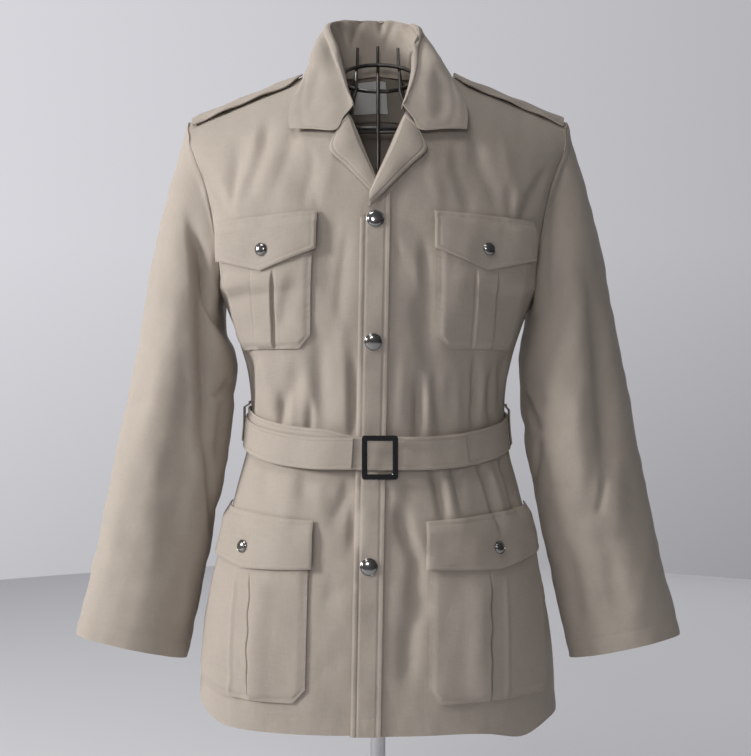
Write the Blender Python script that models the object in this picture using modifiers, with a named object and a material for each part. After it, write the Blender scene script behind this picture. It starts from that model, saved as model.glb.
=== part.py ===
"""Safari jacket in plain cotton twill on a wire dress form with a pole and a round base.

The jacket's front faces -Y, the wearer's left is +X and the base stands on z = 0. Every cloth
piece is a thin wall: rows of points on its outer face and the same rows moved in by the wall.
"""
import math

import bmesh
import bpy
import numpy as np
from mathutils import Matrix

OBJECT_NAME = "safari_jacket_on_wire_form"

# Cloth walls and gaps, in metres
WALL = 0.0018
THIN_WALL = 0.0012
SEAM_GAP = 0.0003
LAY = 0.0006
POCKET_LAY = 0.0015
BELT_LAY = 0.0010
LAP = 0.0175

# Heights above the floor
HEM = 0.300
WAIST_LOW = 0.585
WAIST_HIGH = 0.675
UNDERARM = 0.800
BREAK = 0.889
FRONT_NECK = 1.085
BACK_NECK = 1.097
NECK_SIDE = (0.076, 0.004, 1.085)

# How finely the walls are divided
LOWER_ROWS = (6, 5, 4)
ARM_ROWS = (6, 3)
FRONT_COLUMNS = 12
BACK_COLUMNS = 9
SLEEVE_RINGS = 12

# Belt
BELT_HEIGHT_FRONT = 0.614
BELT_HEIGHT_BACK = 0.640
BELT_WIDTH = 0.038
BELT_WALL = 0.002

# Dress form
WIRE_RADIUS = 0.002
RING_RADIUS = 0.0025
POLE_RADIUS = 0.0095
BASE_RADIUS = 0.165
RING_SIDES = 24


def table(names, rows):
    """Return a dictionary of columns from rows that read like a printed table."""
    return {name: np.array(column) for name, column in zip(names, zip(*rows))}


BODY = table(("height", "side", "front", "back", "square"), (
    (0.300, 0.219, 0.145, 0.150, 2.6),
    (0.385, 0.213, 0.140, 0.145, 2.5),
    (0.485, 0.192, 0.131, 0.135, 2.4),
    (0.560, 0.176, 0.122, 0.124, 2.3),
    (0.625, 0.160, 0.113, 0.112, 2.2),
    (0.680, 0.159, 0.117, 0.112, 2.2),
    (0.740, 0.170, 0.127, 0.117, 2.3),
    (0.800, 0.193, 0.134, 0.122, 2.3)))

FRONT_TOP = table(("height", "front", "square", "roll"), (
    (0.889, 0.131, 1.9, -0.0175),
    (0.950, 0.121, 1.6, 0.0090),
    (1.020, 0.085, 1.3, 0.0380),
    (1.058, 0.038, 1.1, 0.0600),
    (1.085, -0.004, 1.0, 0.0760)))

BACK_TOP = table(("height", "back", "square"), (
    (0.900, 0.124, 1.9),
    (0.960, 0.119, 1.6),
    (1.020, 0.106, 1.3),
    (1.060, 0.092, 1.1),
    (1.097, 0.074, 1.0)))

# The armhole's edge, by how far up the row meets the centre, front and back alike
ARMHOLE = table(("share", "side", "deep", "height"), (
    (0.00, 0.1930, 0.000, 0.800),
    (0.05, 0.1925, 0.026, 0.804),
    (0.16, 0.1900, 0.047, 0.822),
    (0.31, 0.1930, 0.058, 0.862),
    (0.53, 0.2060, 0.052, 0.925),
    (0.77, 0.2280, 0.030, 0.982),
    (0.90, 0.2335, 0.014, 1.006),
    (1.00, 0.2360, 0.000, 1.019)))

# Soft folds: side of the jacket, place across at both ends, heights, half width, height of fold
FRONT_FOLDS = table(("side", "top_at", "low_at", "top", "low", "wide", "high"), (
    (-1, 0.60, 0.56, 0.735, 0.648, 0.060, 0.0040),
    (-1, 0.36, 0.30, 0.720, 0.648, 0.050, 0.0030),
    (-1, 0.85, 0.80, 0.760, 0.648, 0.060, -0.0030),
    (1, 0.57, 0.53, 0.735, 0.648, 0.060, 0.0040),
    (1, 0.34, 0.29, 0.720, 0.648, 0.050, 0.0030),
    (1, 0.82, 0.76, 0.770, 0.648, 0.060, -0.0030),
    (-1, 0.40, 0.36, 0.596, 0.520, 0.060, 0.0030),
    (-1, 0.78, 0.82, 0.596, 0.380, 0.080, 0.0035),
    (1, 0.38, 0.36, 0.596, 0.520, 0.060, 0.0030),
    (1, 0.80, 0.84, 0.596, 0.380, 0.080, 0.0035)))

BACK_FOLDS = table(("side", "top_at", "low_at", "top", "low", "wide", "high"), (
    (-1, 0.25, 0.18, 0.760, 0.676, 0.070, 0.0040),
    (-1, 0.55, 0.50, 0.730, 0.676, 0.070, 0.0035),
    (1, 0.22, 0.16, 0.745, 0.676, 0.070, 0.0035),
    (1, 0.58, 0.52, 0.765, 0.676, 0.070, 0.0040),
    (-1, 0.30, 0.34, 0.615, 0.400, 0.090, 0.0050),
    (-1, 0.70, 0.74, 0.612, 0.360, 0.080, 0.0045),
    (1, 0.33, 0.38, 0.615, 0.380, 0.090, 0.0045),
    (1, 0.72, 0.76, 0.612, 0.420, 0.080, 0.0050)))

# Sleeve: outer and inner line seen from the front, half depth and how far forward
SLEEVE = table(("along", "out_x", "out_z", "in_x", "in_z", "deep", "forward"), (
    (0.00, 0.236, 1.019, 0.1930, 0.800, 0.060, 0.000),
    (0.15, 0.259, 0.935, 0.1855, 0.757, 0.070, 0.000),
    (0.27, 0.276, 0.862, 0.1755, 0.715, 0.073, 0.000),
    (0.37, 0.289, 0.795, 0.1770, 0.680, 0.072, 0.000),
    (0.50, 0.304, 0.715, 0.1810, 0.625, 0.068, 0.002),
    (0.65, 0.324, 0.608, 0.1935, 0.553, 0.063, 0.007),
    (0.80, 0.344, 0.500, 0.2100, 0.473, 0.058, 0.013),
    (1.00, 0.369, 0.387, 0.2340, 0.357, 0.056, 0.022)))

# Sleeve folds: side, angle round the sleeve at both ends, share along, half width, height
SLEEVE_FOLDS = table(("side", "start", "end", "top", "low", "wide", "high"), (
    (-1, 1.60, 2.30, 0.30, 0.90, 0.30, -0.0060),
    (-1, 0.90, 1.30, 0.22, 0.70, 0.35, 0.0035),
    (-1, 4.40, 4.00, 0.30, 0.85, 0.35, -0.0045),
    (1, 0.95, 1.35, 0.30, 0.72, 0.30, -0.0055),
    (1, 1.80, 2.20, 0.25, 0.80, 0.35, 0.0035),
    (1, 4.50, 4.10, 0.28, 0.80, 0.35, -0.0045)))

# Collar from its front end to the centre back: fold, outer edge and the bulge between them
COLLAR = table(("at", "fold_x", "fold_y", "fold_z", "mid_x", "mid_y", "mid_z",
                "edge_x", "edge_y", "edge_z"), (
    (0.00, 0.0290, -0.098, 1.014, 0.050, -0.108, 0.964, 0.1006, -0.090, 0.985),
    (0.15, 0.0365, -0.073, 1.038, 0.066, -0.082, 1.010, 0.1020, -0.068, 1.010),
    (0.30, 0.0460, -0.032, 1.076, 0.078, -0.046, 1.070, 0.0960, -0.040, 1.042),
    (0.45, 0.0570, 0.008, 1.116, 0.083, -0.004, 1.112, 0.0880, -0.008, 1.084),
    (0.62, 0.0655, 0.036, 1.147, 0.086, 0.038, 1.130, 0.0860, 0.034, 1.090),
    (0.80, 0.0500, 0.062, 1.162, 0.062, 0.080, 1.142, 0.0640, 0.080, 1.088),
    (1.00, 0.0000, 0.075, 1.166, 0.000, 0.099, 1.146, 0.0000, 0.103, 1.090)))

# Lapel's outer edge, by the share of the roll line from the break up
LAPEL = table(("at", "edge_x", "edge_z"), (
    (0.00, -0.0150, 0.8860),
    (0.25, 0.0145, 0.9175),
    (0.50, 0.0370, 0.9410),
    (0.75, 0.0550, 0.9610),
    (1.00, 0.0465, 0.9830)))

# Patch pockets: inner edge, width, flap's top at the inner and outer edge, foot, flap's depth
POCKETS = table(("chest", "inner", "wide", "top_in", "top_out", "foot", "flap", "point"), (
    (1, 0.0700, 0.122, 0.890, 0.882, 0.734, 0.044, 0.020),
    (0, 0.0670, 0.172, 0.537, 0.548, 0.334, 0.054, 0.010)))

# Wire form: half width, front and back depth at each height, and the tilt of the wires there
FORM = table(("height", "side", "front", "back", "tilt"), (
    (0.440, 0.160, 0.108, 0.114, 0.00),
    (0.530, 0.148, 0.102, 0.104, 0.00),
    (0.620, 0.135, 0.094, 0.093, 0.00),
    (0.700, 0.135, 0.098, 0.093, 0.00),
    (0.800, 0.150, 0.108, 0.101, 0.00),
    (0.880, 0.155, 0.110, 0.106, 0.00),
    (0.950, 0.135, 0.100, 0.102, 0.05),
    (1.010, 0.095, 0.072, 0.086, 0.20),
    (1.045, 0.065, 0.056, 0.064, 0.45),
    (1.075, 0.053, 0.052, 0.053, 0.63),
    (1.098, 0.052, 0.052, 0.052, 0.63)))


def smooth(at, xs, ys):
    """Cubic curve through the table's points, its slope at each from the two next to it."""
    at = np.clip(at, xs[0], xs[-1])
    slope = np.gradient(ys, xs)
    cell = np.clip(np.searchsorted(xs, at, side="right") - 1, 0, len(xs) - 2)
    step = xs[cell + 1] - xs[cell]
    t = (at - xs[cell]) / step
    start = (1 + 2 * t) * (1 - t) ** 2 * ys[cell] + t * (1 - t) ** 2 * step * slope[cell]
    end = t * t * (3 - 2 * t) * ys[cell + 1] + t * t * (t - 1) * step * slope[cell + 1]
    return start + end


def ease(value, low, high):
    """0 below low, 1 above high, with a soft step between."""
    t = np.clip((value - low) / (high - low), 0.0, 1.0)
    return t * t * (3 - 2 * t)


def unit(vectors):
    """Vectors of length 1."""
    return vectors / np.maximum(np.linalg.norm(vectors, axis=-1, keepdims=True), 1e-12)


def fold_height(folds, side, across, height):
    """Sum of the soft ridges and troughs: a bell across each fold, eased out at its two ends."""
    total = np.zeros(np.broadcast(across, height).shape)
    for row in range(len(folds["side"])):
        if folds["side"][row] != side:
            continue
        top, low = folds["top"][row], folds["low"][row]
        share = (height - low) / (top - low)
        middle = folds["low_at"][row] + (folds["top_at"][row] - folds["low_at"][row]) * share
        bell = np.exp(-((across - middle) / folds["wide"][row]) ** 2)
        total += folds["high"][row] * bell * ease(share, 0.0, 0.3) * ease(1 - share, 0.0, 0.4)
    return total


def centre_line(height):
    """Where the button line hangs: a little to the wearer's right, more so towards the hem."""
    fall = np.clip((BREAK - height) / (BREAK - HEM), 0.0, 1.0)
    rise = np.clip((FRONT_NECK - height) / (FRONT_NECK - BREAK), 0.0, 1.0)
    return -0.003 * rise - 0.011 * fall


def armhole_edge(side, height, top, facing):
    """Side edge of a row: the side seam up to the underarm, then the armhole's edge."""
    share = (np.maximum(height, UNDERARM) - UNDERARM) / (top - UNDERARM)
    upper_x = smooth(share, ARMHOLE["share"], ARMHOLE["side"])
    upper_y = smooth(share, ARMHOLE["share"], ARMHOLE["deep"]) * facing
    upper_z = smooth(share, ARMHOLE["share"], ARMHOLE["height"])
    below = height <= UNDERARM
    lower_x = smooth(height, BODY["height"], BODY["side"])
    edge_x = np.where(below, lower_x, upper_x)
    return edge_x, np.where(below, 0.0, upper_y), np.where(below, height, upper_z)


def whole_column(height, upper, name):
    """One smooth column from the hem to the neck: the body's rows, then those above it."""
    heights = np.concatenate([BODY["height"], upper["height"]])
    return smooth(height, heights, np.concatenate([BODY[name], upper[name]]))


def quarter(start, end, square, across):
    """Quarter of a rounded rectangle in plan, from a centre point to a side point."""
    angle = across * math.pi / 2
    run = np.sin(angle) ** (2 / square)
    turn = 1 - np.cos(angle) ** (2 / square)
    return (start[0] + (end[0] - start[0]) * run, start[1] + (end[1] - start[1]) * turn,
            start[2] + (end[2] - start[2]) * run, run)


def front(side, across, height, centred=False):
    """Outer face of one front, from its front edge or the button line to the side."""
    across, height = np.broadcast_arrays(np.asarray(across, float), np.asarray(height, float))
    depth = whole_column(height, FRONT_TOP, "front")
    square = whole_column(height, FRONT_TOP, "square")
    roll = np.where(height > BREAK, smooth(height, FRONT_TOP["height"], FRONT_TOP["roll"]), -LAP)
    edge = side * centre_line(height) + (0.0 if centred else roll)
    end = armhole_edge(side, height, FRONT_NECK, -1.0)
    x, y, z, run = quarter((edge, -depth, height), end, square, across)
    bulge = fold_height(FRONT_FOLDS, side, across, height)
    if side > 0:
        low = 1 - ease(height, HEM, HEM + 0.16)
        z = z - 0.011 * low * np.exp(-((across - 0.52) / 0.13) ** 2)
    away = unit(np.stack([x / end[0], y / np.maximum(depth, 0.03)], axis=-1))
    under = 0.0 if side > 0 or centred else LAY + WALL
    lapped = (under * (1 - ease(across, 0.24, 0.42)) + under * 0.5 * (1 - ease(across, 0.0, 0.22)))
    lapped = lapped * (1 - ease(height, 0.94, 0.98))
    bulge = bulge - lapped
    return np.stack([side * (x + away[..., 0] * bulge), y + away[..., 1] * bulge, z], axis=-1)


def back(side, across, height):
    """Outer face of half the back, from the centre back to the side."""
    across, height = np.broadcast_arrays(np.asarray(across, float), np.asarray(height, float))
    depth = whole_column(height, BACK_TOP, "back")
    square = whole_column(height, BACK_TOP, "square")
    end = armhole_edge(side, height, BACK_NECK, 1.0)
    x, y, z, run = quarter((0.0, depth, height), end, square, across)
    neck_run = 0.376
    base = np.array([0.236 * neck_run, BACK_TOP["back"][-1] * (1 - neck_run),
                     BACK_NECK + (1.019 - BACK_NECK) * neck_run])
    shift = np.array(NECK_SIDE) - base
    peak = np.where(run < neck_run, run / neck_run, (1 - run) / (1 - neck_run))
    curve = np.where(run < neck_run, np.sin(math.pi * np.clip(run / neck_run, 0, 1)), 0.0)
    rise = ease(height, 0.97, BACK_NECK)
    x = x + rise * (peak * shift[0] + curve * 0.012)
    y = y + rise * (peak * shift[1] + curve * 0.0223)
    z = z + rise * peak * shift[2]
    bulge = fold_height(BACK_FOLDS, side, across, height)
    away = unit(np.stack([x / end[0], y / depth], axis=-1))
    return np.stack([side * (x + away[..., 0] * bulge), y + away[..., 1] * bulge, z], axis=-1)


def armhole_height(angle, top):
    """Row height whose side edge is at this angle round the armhole, 0 at the shoulder tip."""
    low, high = ARMHOLE["height"][0], ARMHOLE["height"][-1]
    wanted = (low + high) / 2 + (high - low) / 2 * np.cos(angle)
    share = np.linspace(0, 1, 400)
    reached = smooth(share, ARMHOLE["share"], ARMHOLE["height"])
    return UNDERARM + (top - UNDERARM) * np.interp(wanted, reached, share)


def sleeve(side, angle, along):
    """Outer face of a sleeve: rings from the armhole's loop to the cuff's rounded oval."""
    angle, along = np.broadcast_arrays(np.asarray(angle, float), np.asarray(along, float))
    value = {name: smooth(along, SLEEVE["along"], SLEEVE[name]) for name in SLEEVE}
    start = {name: SLEEVE[name][0] for name in SLEEVE}

    def ring(row):
        """Oval through the outer and inner line."""
        reach_x = (row["out_x"] - row["in_x"]) / 2
        reach_z = (row["out_z"] - row["in_z"]) / 2
        return np.stack(np.broadcast_arrays(
            (row["out_x"] + row["in_x"]) / 2 + reach_x * np.cos(angle),
            -row["forward"] - row["deep"] * np.sin(angle),
            (row["out_z"] + row["in_z"]) / 2 + reach_z * np.cos(angle)), axis=-1)

    facing_front = np.sin(angle) >= 0
    turn = np.where(angle <= math.pi, angle, 2 * math.pi - angle)
    ahead = front(1, np.ones_like(turn), armhole_height(turn, FRONT_NECK))
    behind = back(1, np.ones_like(turn), armhole_height(turn, BACK_NECK))
    loop = np.where(facing_front[..., None], ahead, behind)
    points = ring(value) + (loop - ring(start)) * (1 - ease(along, 0.0, 0.32))[..., None]
    bulge = np.zeros(along.shape)
    for row in range(len(SLEEVE_FOLDS["side"])):
        if SLEEVE_FOLDS["side"][row] != side:
            continue
        top, low = SLEEVE_FOLDS["top"][row], SLEEVE_FOLDS["low"][row]
        share = (along - top) / (low - top)
        middle = SLEEVE_FOLDS["start"][row] * (1 - share) + SLEEVE_FOLDS["end"][row] * share
        bell = np.exp(-((angle - middle) / SLEEVE_FOLDS["wide"][row]) ** 2)
        bulge += SLEEVE_FOLDS["high"][row] * bell * ease(share, 0, 0.3) * ease(1 - share, 0, 0.3)
    away = np.stack([np.cos(angle), -np.sin(angle), 0 * angle], axis=-1)
    points = points + away * bulge[..., None]
    points[..., 0] += SEAM_GAP + 0.0001 + 0.0012 * ease(-np.cos(angle), 0.5, 0.9)
    return points * np.array([side, 1.0, 1.0])


def normals(surface, across, height, low=(0.0, HEM), high=(1.0, 2.0)):
    """Outward normals of a surface, from points a small step to each side."""
    step = 2e-3
    a0, a1 = np.maximum(across - step, low[0]), np.minimum(across + step, high[0])
    h0, h1 = np.maximum(height - step, low[1]), np.minimum(height + step, high[1])
    along = surface(a1, height) - surface(a0, height)
    up = surface(across, h1) - surface(across, h0)
    return unit(np.cross(along, up))


def front_normals(side, across, height):
    """Normals of a front, pointing away from the wearer."""
    across, height = np.broadcast_arrays(np.asarray(across, float), np.asarray(height, float))
    out = normals(lambda a, h: front(side, a, h), across, height, high=(1.0, FRONT_NECK))
    return out * side


def back_normals(side, across, height):
    """Normals of half the back, pointing away from the wearer."""
    across, height = np.broadcast_arrays(np.asarray(across, float), np.asarray(height, float))
    out = normals(lambda a, h: back(side, a, h), across, height, high=(1.0, BACK_NECK))
    return -out * side


def remove_everything():
    """Start from an empty scene."""
    for item in list(bpy.data.objects):
        bpy.data.objects.remove(item, do_unlink=True)


def material(name, colour, roughness, metallic=0.0):
    """Principled material in one colour."""
    made = bpy.data.materials.new(name)
    made.use_nodes = True
    shader = made.node_tree.nodes["Principled BSDF"]
    shader.inputs["Base Color"].default_value = (*colour, 1.0)
    shader.inputs["Roughness"].default_value = roughness
    shader.inputs["Metallic"].default_value = metallic
    return made


def add_to_part(item, look):
    """Put an object in the part's collection with its own copy of a material."""
    bpy.data.collections[OBJECT_NAME].objects.link(item)
    item.data.materials.clear()
    item.data.materials.append(look.copy())
    return item


def solid(name, sections, look, ring=False):
    """Loft closed sections into one body; an open loft ends in strips from face to face.

    Each cell is split along its shorter diagonal, and both faces of a wall are split alike.
    """
    rows, count = sections.shape[:2]
    index = np.arange(rows * count).reshape(rows, count)
    across = np.roll(index, -1, axis=1)
    quads = np.stack([index, across, np.roll(across, -1, axis=0), np.roll(index, -1, axis=0)], -1)
    quads = quads if ring else quads[:-1]
    corners = sections.reshape(-1, 3)[quads]
    split = (np.linalg.norm(corners[..., 0, :] - corners[..., 2, :], axis=-1)
             <= np.linalg.norm(corners[..., 1, :] - corners[..., 3, :], axis=-1))
    half = count // 2
    split[:, half:-1] = ~split[:, half - 2::-1][:, :half - 1]
    straight, crossed = quads[split], quads[~split]
    faces = np.concatenate([straight[:, [0, 1, 2]], straight[:, [0, 2, 3]],
                            crossed[:, [0, 1, 3]], crossed[:, [1, 2, 3]]]).tolist()
    if not ring:
        for row in (index[0], index[-1]):
            faces += [[row[j], row[j + 1], row[count - 2 - j], row[count - 1 - j]]
                      for j in range(count // 2 - 1)]
    mesh = bpy.data.meshes.new(name)
    mesh.from_pydata(sections.reshape(-1, 3).tolist(), [], faces)
    shell = bmesh.new()
    shell.from_mesh(mesh)
    bmesh.ops.recalc_face_normals(shell, faces=shell.faces)
    shell.to_mesh(mesh)
    shell.free()
    mesh.shade_smooth()
    mesh.set_sharp_from_angle(angle=math.radians(50))
    return add_to_part(bpy.data.objects.new(name, mesh), look)


def wall(name, outer, inner, look, ring=False):
    """Closed wall between an outer and an inner grid of points."""
    return solid(name, np.concatenate([outer, inner[:, ::-1]], axis=1), look, ring)


def draw_back(outer, inner, edges, distance=SEAM_GAP / 2):
    """Pull named edges of a wall in along the cloth, half a seam gap each."""
    for edge in edges:
        place, beside = {"first row": (np.s_[0], np.s_[1]), "last row": (np.s_[-1], np.s_[-2]),
                         "first column": (np.s_[:, 0], np.s_[:, 1]),
                         "last column": (np.s_[:, -1], np.s_[:, -2])}[edge]
        shift = unit(outer[beside] - outer[place]) * distance
        outer[place] = outer[place] + shift
        inner[place] = inner[place] + shift


def arm_angles():
    """Steps round half the armhole from the shoulder tip, closer at the underarm."""
    return math.pi * stepped([0, 0.75, 1], ARM_ROWS)


def row_heights(top):
    """Heights of the rows: closer at the waist, then even steps round the armhole."""
    lower = stepped([HEM, WAIST_LOW, WAIST_HIGH, UNDERARM], LOWER_ROWS)
    angles = arm_angles()[-2::-1]
    return np.concatenate([lower, armhole_height(angles, top)])


def seam_normals(first, second):
    """Mean of the normals on both sides of a seam."""
    return unit(first + second)


def build_body(cloth):
    """Two fronts and the back, their walls mitred at the side and shoulder seams."""
    front_rows = row_heights(FRONT_NECK)[:, None]
    back_rows = row_heights(BACK_NECK)[:, None]
    across = np.linspace(0, 1, FRONT_COLUMNS + 1)[None, :]
    back_across = np.linspace(0, 1, BACK_COLUMNS + 1)[None, :]
    halves = {}
    for side in (-1, 1):
        outer, away = front(side, across, front_rows), front_normals(side, across, front_rows)
        half, half_away = back(side, back_across, back_rows), back_normals(side, back_across, back_rows)
        seam = slice(0, sum(LOWER_ROWS) + 1)
        shared = seam_normals(away[seam, -1], half_away[seam, -1])
        away[seam, -1], half_away[seam, -1] = shared, shared
        ridge = unit(np.array([side * 0.38, 0.0, 0.925]))
        away[-1, :] = ridge
        neck_column = np.linalg.norm(half[-1] - np.array(NECK_SIDE) * [side, 1, 1], axis=1).argmin()
        half_away[-1, neck_column:] = ridge
        inner, half_inner = outer - away * WALL, half - half_away * WALL
        draw_back(outer, inner, ["last column", "last row"])
        draw_back(half, half_inner, ["last column"])
        shoulder = slice(neck_column, None)
        shift = unit(half[-2] - half[-1])[shoulder] * SEAM_GAP / 2
        half[-1, shoulder] += shift
        half_inner[-1, shoulder] += shift
        halves[side] = (half, half_inner)
        wall("left_front" if side > 0 else "right_front", outer, inner, cloth)
    outer = np.concatenate([halves[-1][0][:, :0:-1], halves[1][0]], axis=1)
    inner = np.concatenate([halves[-1][1][:, :0:-1], halves[1][1]], axis=1)
    wall("back", outer, inner, cloth)


def build_sleeves(cloth):
    """Tubes whose first ring has the armhole's own points."""
    half_turn = arm_angles()
    angle = np.concatenate([half_turn, 2 * math.pi - half_turn[-2:0:-1]])[:, None]
    along = np.linspace(0, 1, SLEEVE_RINGS + 1)[None, :]
    for side in (-1, 1):
        outer = sleeve(side, angle, along)
        away = normals(lambda a, t: sleeve(side, a, t), angle + 0 * along, along + 0 * angle,
                       low=(-1.0, 0.0), high=(7.0, 1.0)) * side
        ridge = unit(np.array([side * 0.38, 0.0, 0.925]))
        top = np.cos(angle) > 0.9
        away[:, :1][top[:, :1, None].repeat(3, axis=2)] = np.tile(ridge, int(top.sum()))
        inner = outer - away * WALL
        name = "left_sleeve" if side > 0 else "right_sleeve"
        wall(name, outer, inner, cloth, ring=True)


def front_finder(side):
    """Return a function that gives the point and normal at a distance from the button line."""
    across = np.linspace(0, 1, 91)[None, :]
    heights = np.concatenate([np.linspace(HEM, UNDERARM, 70), np.linspace(UNDERARM, 1.08, 50)[1:]])
    rows = heights[:, None]
    points, away = front(side, across, rows), front_normals(side, across, rows)
    lengths = np.linalg.norm(np.diff(points, axis=1), axis=2).cumsum(axis=1)
    lengths = np.concatenate([np.zeros((len(heights), 1)), lengths], axis=1)
    start = side * points[:, 0, 0] - side * centre_line(heights)
    lengths += start[:, None]
    data = np.concatenate([points, away], axis=2)

    def find(distance, height):
        """Points and normals for grids of distances from the button line and heights."""
        distance, height = np.broadcast_arrays(distance, height)
        flat = np.empty((distance.size, 6))
        rowwise = np.stack([[np.interp(distance.ravel(), lengths[j], data[j, :, k])
                             for k in range(6)] for j in range(len(heights))])
        for q, wanted in enumerate(height.ravel()):
            for k in range(6):
                flat[q, k] = np.interp(wanted, rowwise[:, 2, q], rowwise[:, k, q])
        flat = flat.reshape(*distance.shape, 6)
        return flat[..., :3], unit(flat[..., 3:])

    return find


def build_placket(find, cloth):
    """Stitched strip on the overlapping edge, cut off slanting where the lapel turns."""
    share = np.linspace(0, 1, 18)[:, None]
    distance = np.linspace(-LAP + 0.0002, 0.0165, 4)[None, :]
    top = 0.880 + (distance + LAP) * 0.85
    height = HEM + (top - HEM) * share
    points, away = find(distance, height)
    wall("front_placket", points + away * (LAY + THIN_WALL), points + away * LAY, cloth)


def stepped(edges, counts):
    """Positions with even steps between given edges."""
    parts = [np.linspace(a, b, n, endpoint=False) for a, b, n in zip(edges, edges[1:], counts)]
    return np.concatenate(parts + [[edges[-1]]])


def build_pockets(find, side, cloth, buttons):
    """Patch pocket with cut corners and a box pleat, its pointed flap and the flap's button."""
    word = "left" if side > 0 else "right"
    for row in range(len(POCKETS["chest"])):
        chest = POCKETS["chest"][row] > 0
        kind = "chest" if chest else "skirt"
        inner_edge, wide, foot = (POCKETS[name][row] for name in ("inner", "wide", "foot"))
        top_in, top_out = POCKETS["top_in"][row], POCKETS["top_out"][row]
        flap, point = POCKETS["flap"][row], POCKETS["point"][row]
        pleat = 0.013
        middle = wide / 2
        offset = stepped([0.002, middle - pleat, middle - pleat + 0.0015, middle + pleat - 0.0015,
                          middle + pleat, wide - 0.002], [3, 1, 2, 1, 4])
        share = stepped([0, 0.12, 1], [1, 6])[:, None]
        corner = np.clip(0.016 - np.minimum(offset, wide - offset), 0, None)
        low = foot + corner[None, :] * 1.1
        tops = top_in + (top_out - top_in) * offset / wide - 0.012
        height = low + (tops[None, :] - low) * share
        points, away = find(inner_edge + offset[None, :] + 0 * share, height)
        raised = np.where(np.abs(offset - middle) < pleat - 0.001, 0.0012, 0.0)[None, :, None]
        lay = POCKET_LAY + chest * 0.0022 * ease(offset / wide, 0.6, 0.95)[None, :, None]
        outer = points + away * (lay + THIN_WALL + raised)
        wall(word + "_" + kind + "_pocket", outer, points + away * lay, cloth)

        offset = stepped([-0.003, middle, wide + 0.002], [5, 5])
        share = stepped([0, 0.22, 1], [1, 3])[:, None]
        tops = top_in + (top_out - top_in) * offset / wide
        low = tops - flap - point * (1 - np.abs(offset - middle) / (middle + 0.003))
        height = tops[None, :] + (low - tops)[None, :] * share
        points, away = find(inner_edge + offset[None, :] + 0 * share, height)
        lay = POCKET_LAY + chest * 0.0022 * ease(offset / wide, 0.6, 0.95)[None, :, None]
        lift = lay + 0.0038 * ease(share, 0.0, 0.22)[..., None]
        outer, inner = points + away * (lift + 0.0015), points + away * lift
        wall(word + "_" + kind + "_flap", outer, inner, cloth)
        spot = tops[5] - (flap + point) * 0.62
        place, direction = find(np.array([inner_edge + middle]), np.array([spot]))
        place = place[0] + direction[0] * (POCKET_LAY + 0.0038 + 0.0015 + 0.0005)
        build_button(word + "_" + kind + "_button", place, direction[0], 0.0075, buttons)


def build_button(name, place, direction, radius, look):
    """Low domed button: a turned profile set square on the cloth."""
    profile = [(0.0, 0.0032), (0.55, 0.0030), (0.86, 0.0022), (1.0, 0.0010), (0.94, 0.0), (0.0, 0.0)]
    mesh = bpy.data.meshes.new(name)
    points = [(radius * r, 0.0, z) for r, z in profile]
    mesh.from_pydata(points, [(i, i + 1) for i in range(len(points) - 1)], [])
    item = add_to_part(bpy.data.objects.new(name, mesh), look)
    turn = item.modifiers.new("turned", "SCREW")
    turn.steps = turn.render_steps = 12
    turn.use_merge_vertices = True
    turn.merge_threshold = 0.00001
    turn.use_smooth_shade = True
    up = unit(np.asarray(direction, float))
    sideways = unit(np.cross([0.0, 0.0, 1.0], up)) if abs(up[2]) < 0.95 else np.array([1.0, 0, 0])
    forward = np.cross(up, sideways)
    matrix = np.eye(4)
    matrix[:3, 0], matrix[:3, 1], matrix[:3, 2], matrix[:3, 3] = sideways, forward, up, place
    item.matrix_world = Matrix(matrix.tolist())
    return item


def build_lapels(cloth):
    """Lapels turned out over the fronts from the roll line to the notch."""
    for side, first in ((1, 0.10), (-1, 0.42)):
        find_row = np.linspace(first, 1.0, 9)[:, None]
        out = np.linspace(0, 1, 6)[None, :]
        roll_height = BREAK + (1.004 - BREAK) * find_row
        roll_x = side * front(side, 0.0, roll_height)[..., 0]
        edge_x = smooth(find_row, LAPEL["at"], LAPEL["edge_x"])
        edge_z = smooth(find_row, LAPEL["at"], LAPEL["edge_z"])
        x = roll_x + 0.001 + (edge_x - roll_x - 0.001) * out
        z = roll_height + (edge_z - roll_height) * out
        points, away = face_points(side, x, z)
        lift = 0.0030 + 0.0030 * np.sin(math.pi * out)[..., None]
        outer, inner = points + away * (lift + 0.0016), points + away * lift
        wall("left_lapel" if side > 0 else "right_lapel", outer, inner, cloth)


def face_points(side, x, z):
    """Point and normal of a front as seen from straight ahead, at x and z."""
    across = np.linspace(0, 1, 61)[None, :]
    heights = np.linspace(0.86, 1.083, 60)
    points = front(side, across, heights[:, None])
    away = front_normals(side, across, heights[:, None])
    data = np.concatenate([points, away], axis=2)
    x, z = np.broadcast_arrays(x, z)
    rowwise = np.stack([[np.interp(x.ravel(), side * data[j, :, 0], data[j, :, k])
                         for k in range(6)] for j in range(len(heights))])
    flat = np.empty((x.size, 6))
    for q, wanted in enumerate(z.ravel()):
        for k in range(6):
            flat[q, k] = np.interp(wanted, rowwise[:, 2, q], rowwise[:, k, q])
    flat[:, 0] = side * x.ravel()
    flat = flat.reshape(*x.shape, 6)
    return flat[..., :3], unit(flat[..., 3:])


def body_cloud():
    """Dense points and normals of the upper body, to keep other pieces clear of it."""
    across = np.linspace(0, 1, 60)[None, :]
    points, away = [], []
    for side in (-1, 1):
        rows = np.linspace(0.93, FRONT_NECK, 60)[:, None]
        points.append(front(side, across, rows).reshape(-1, 3))
        away.append(front_normals(side, across, rows).reshape(-1, 3))
        rows = np.linspace(0.93, BACK_NECK, 60)[:, None]
        points.append(back(side, across, rows).reshape(-1, 3))
        away.append(back_normals(side, across, rows).reshape(-1, 3))
    return np.concatenate(points), np.concatenate(away)


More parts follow.
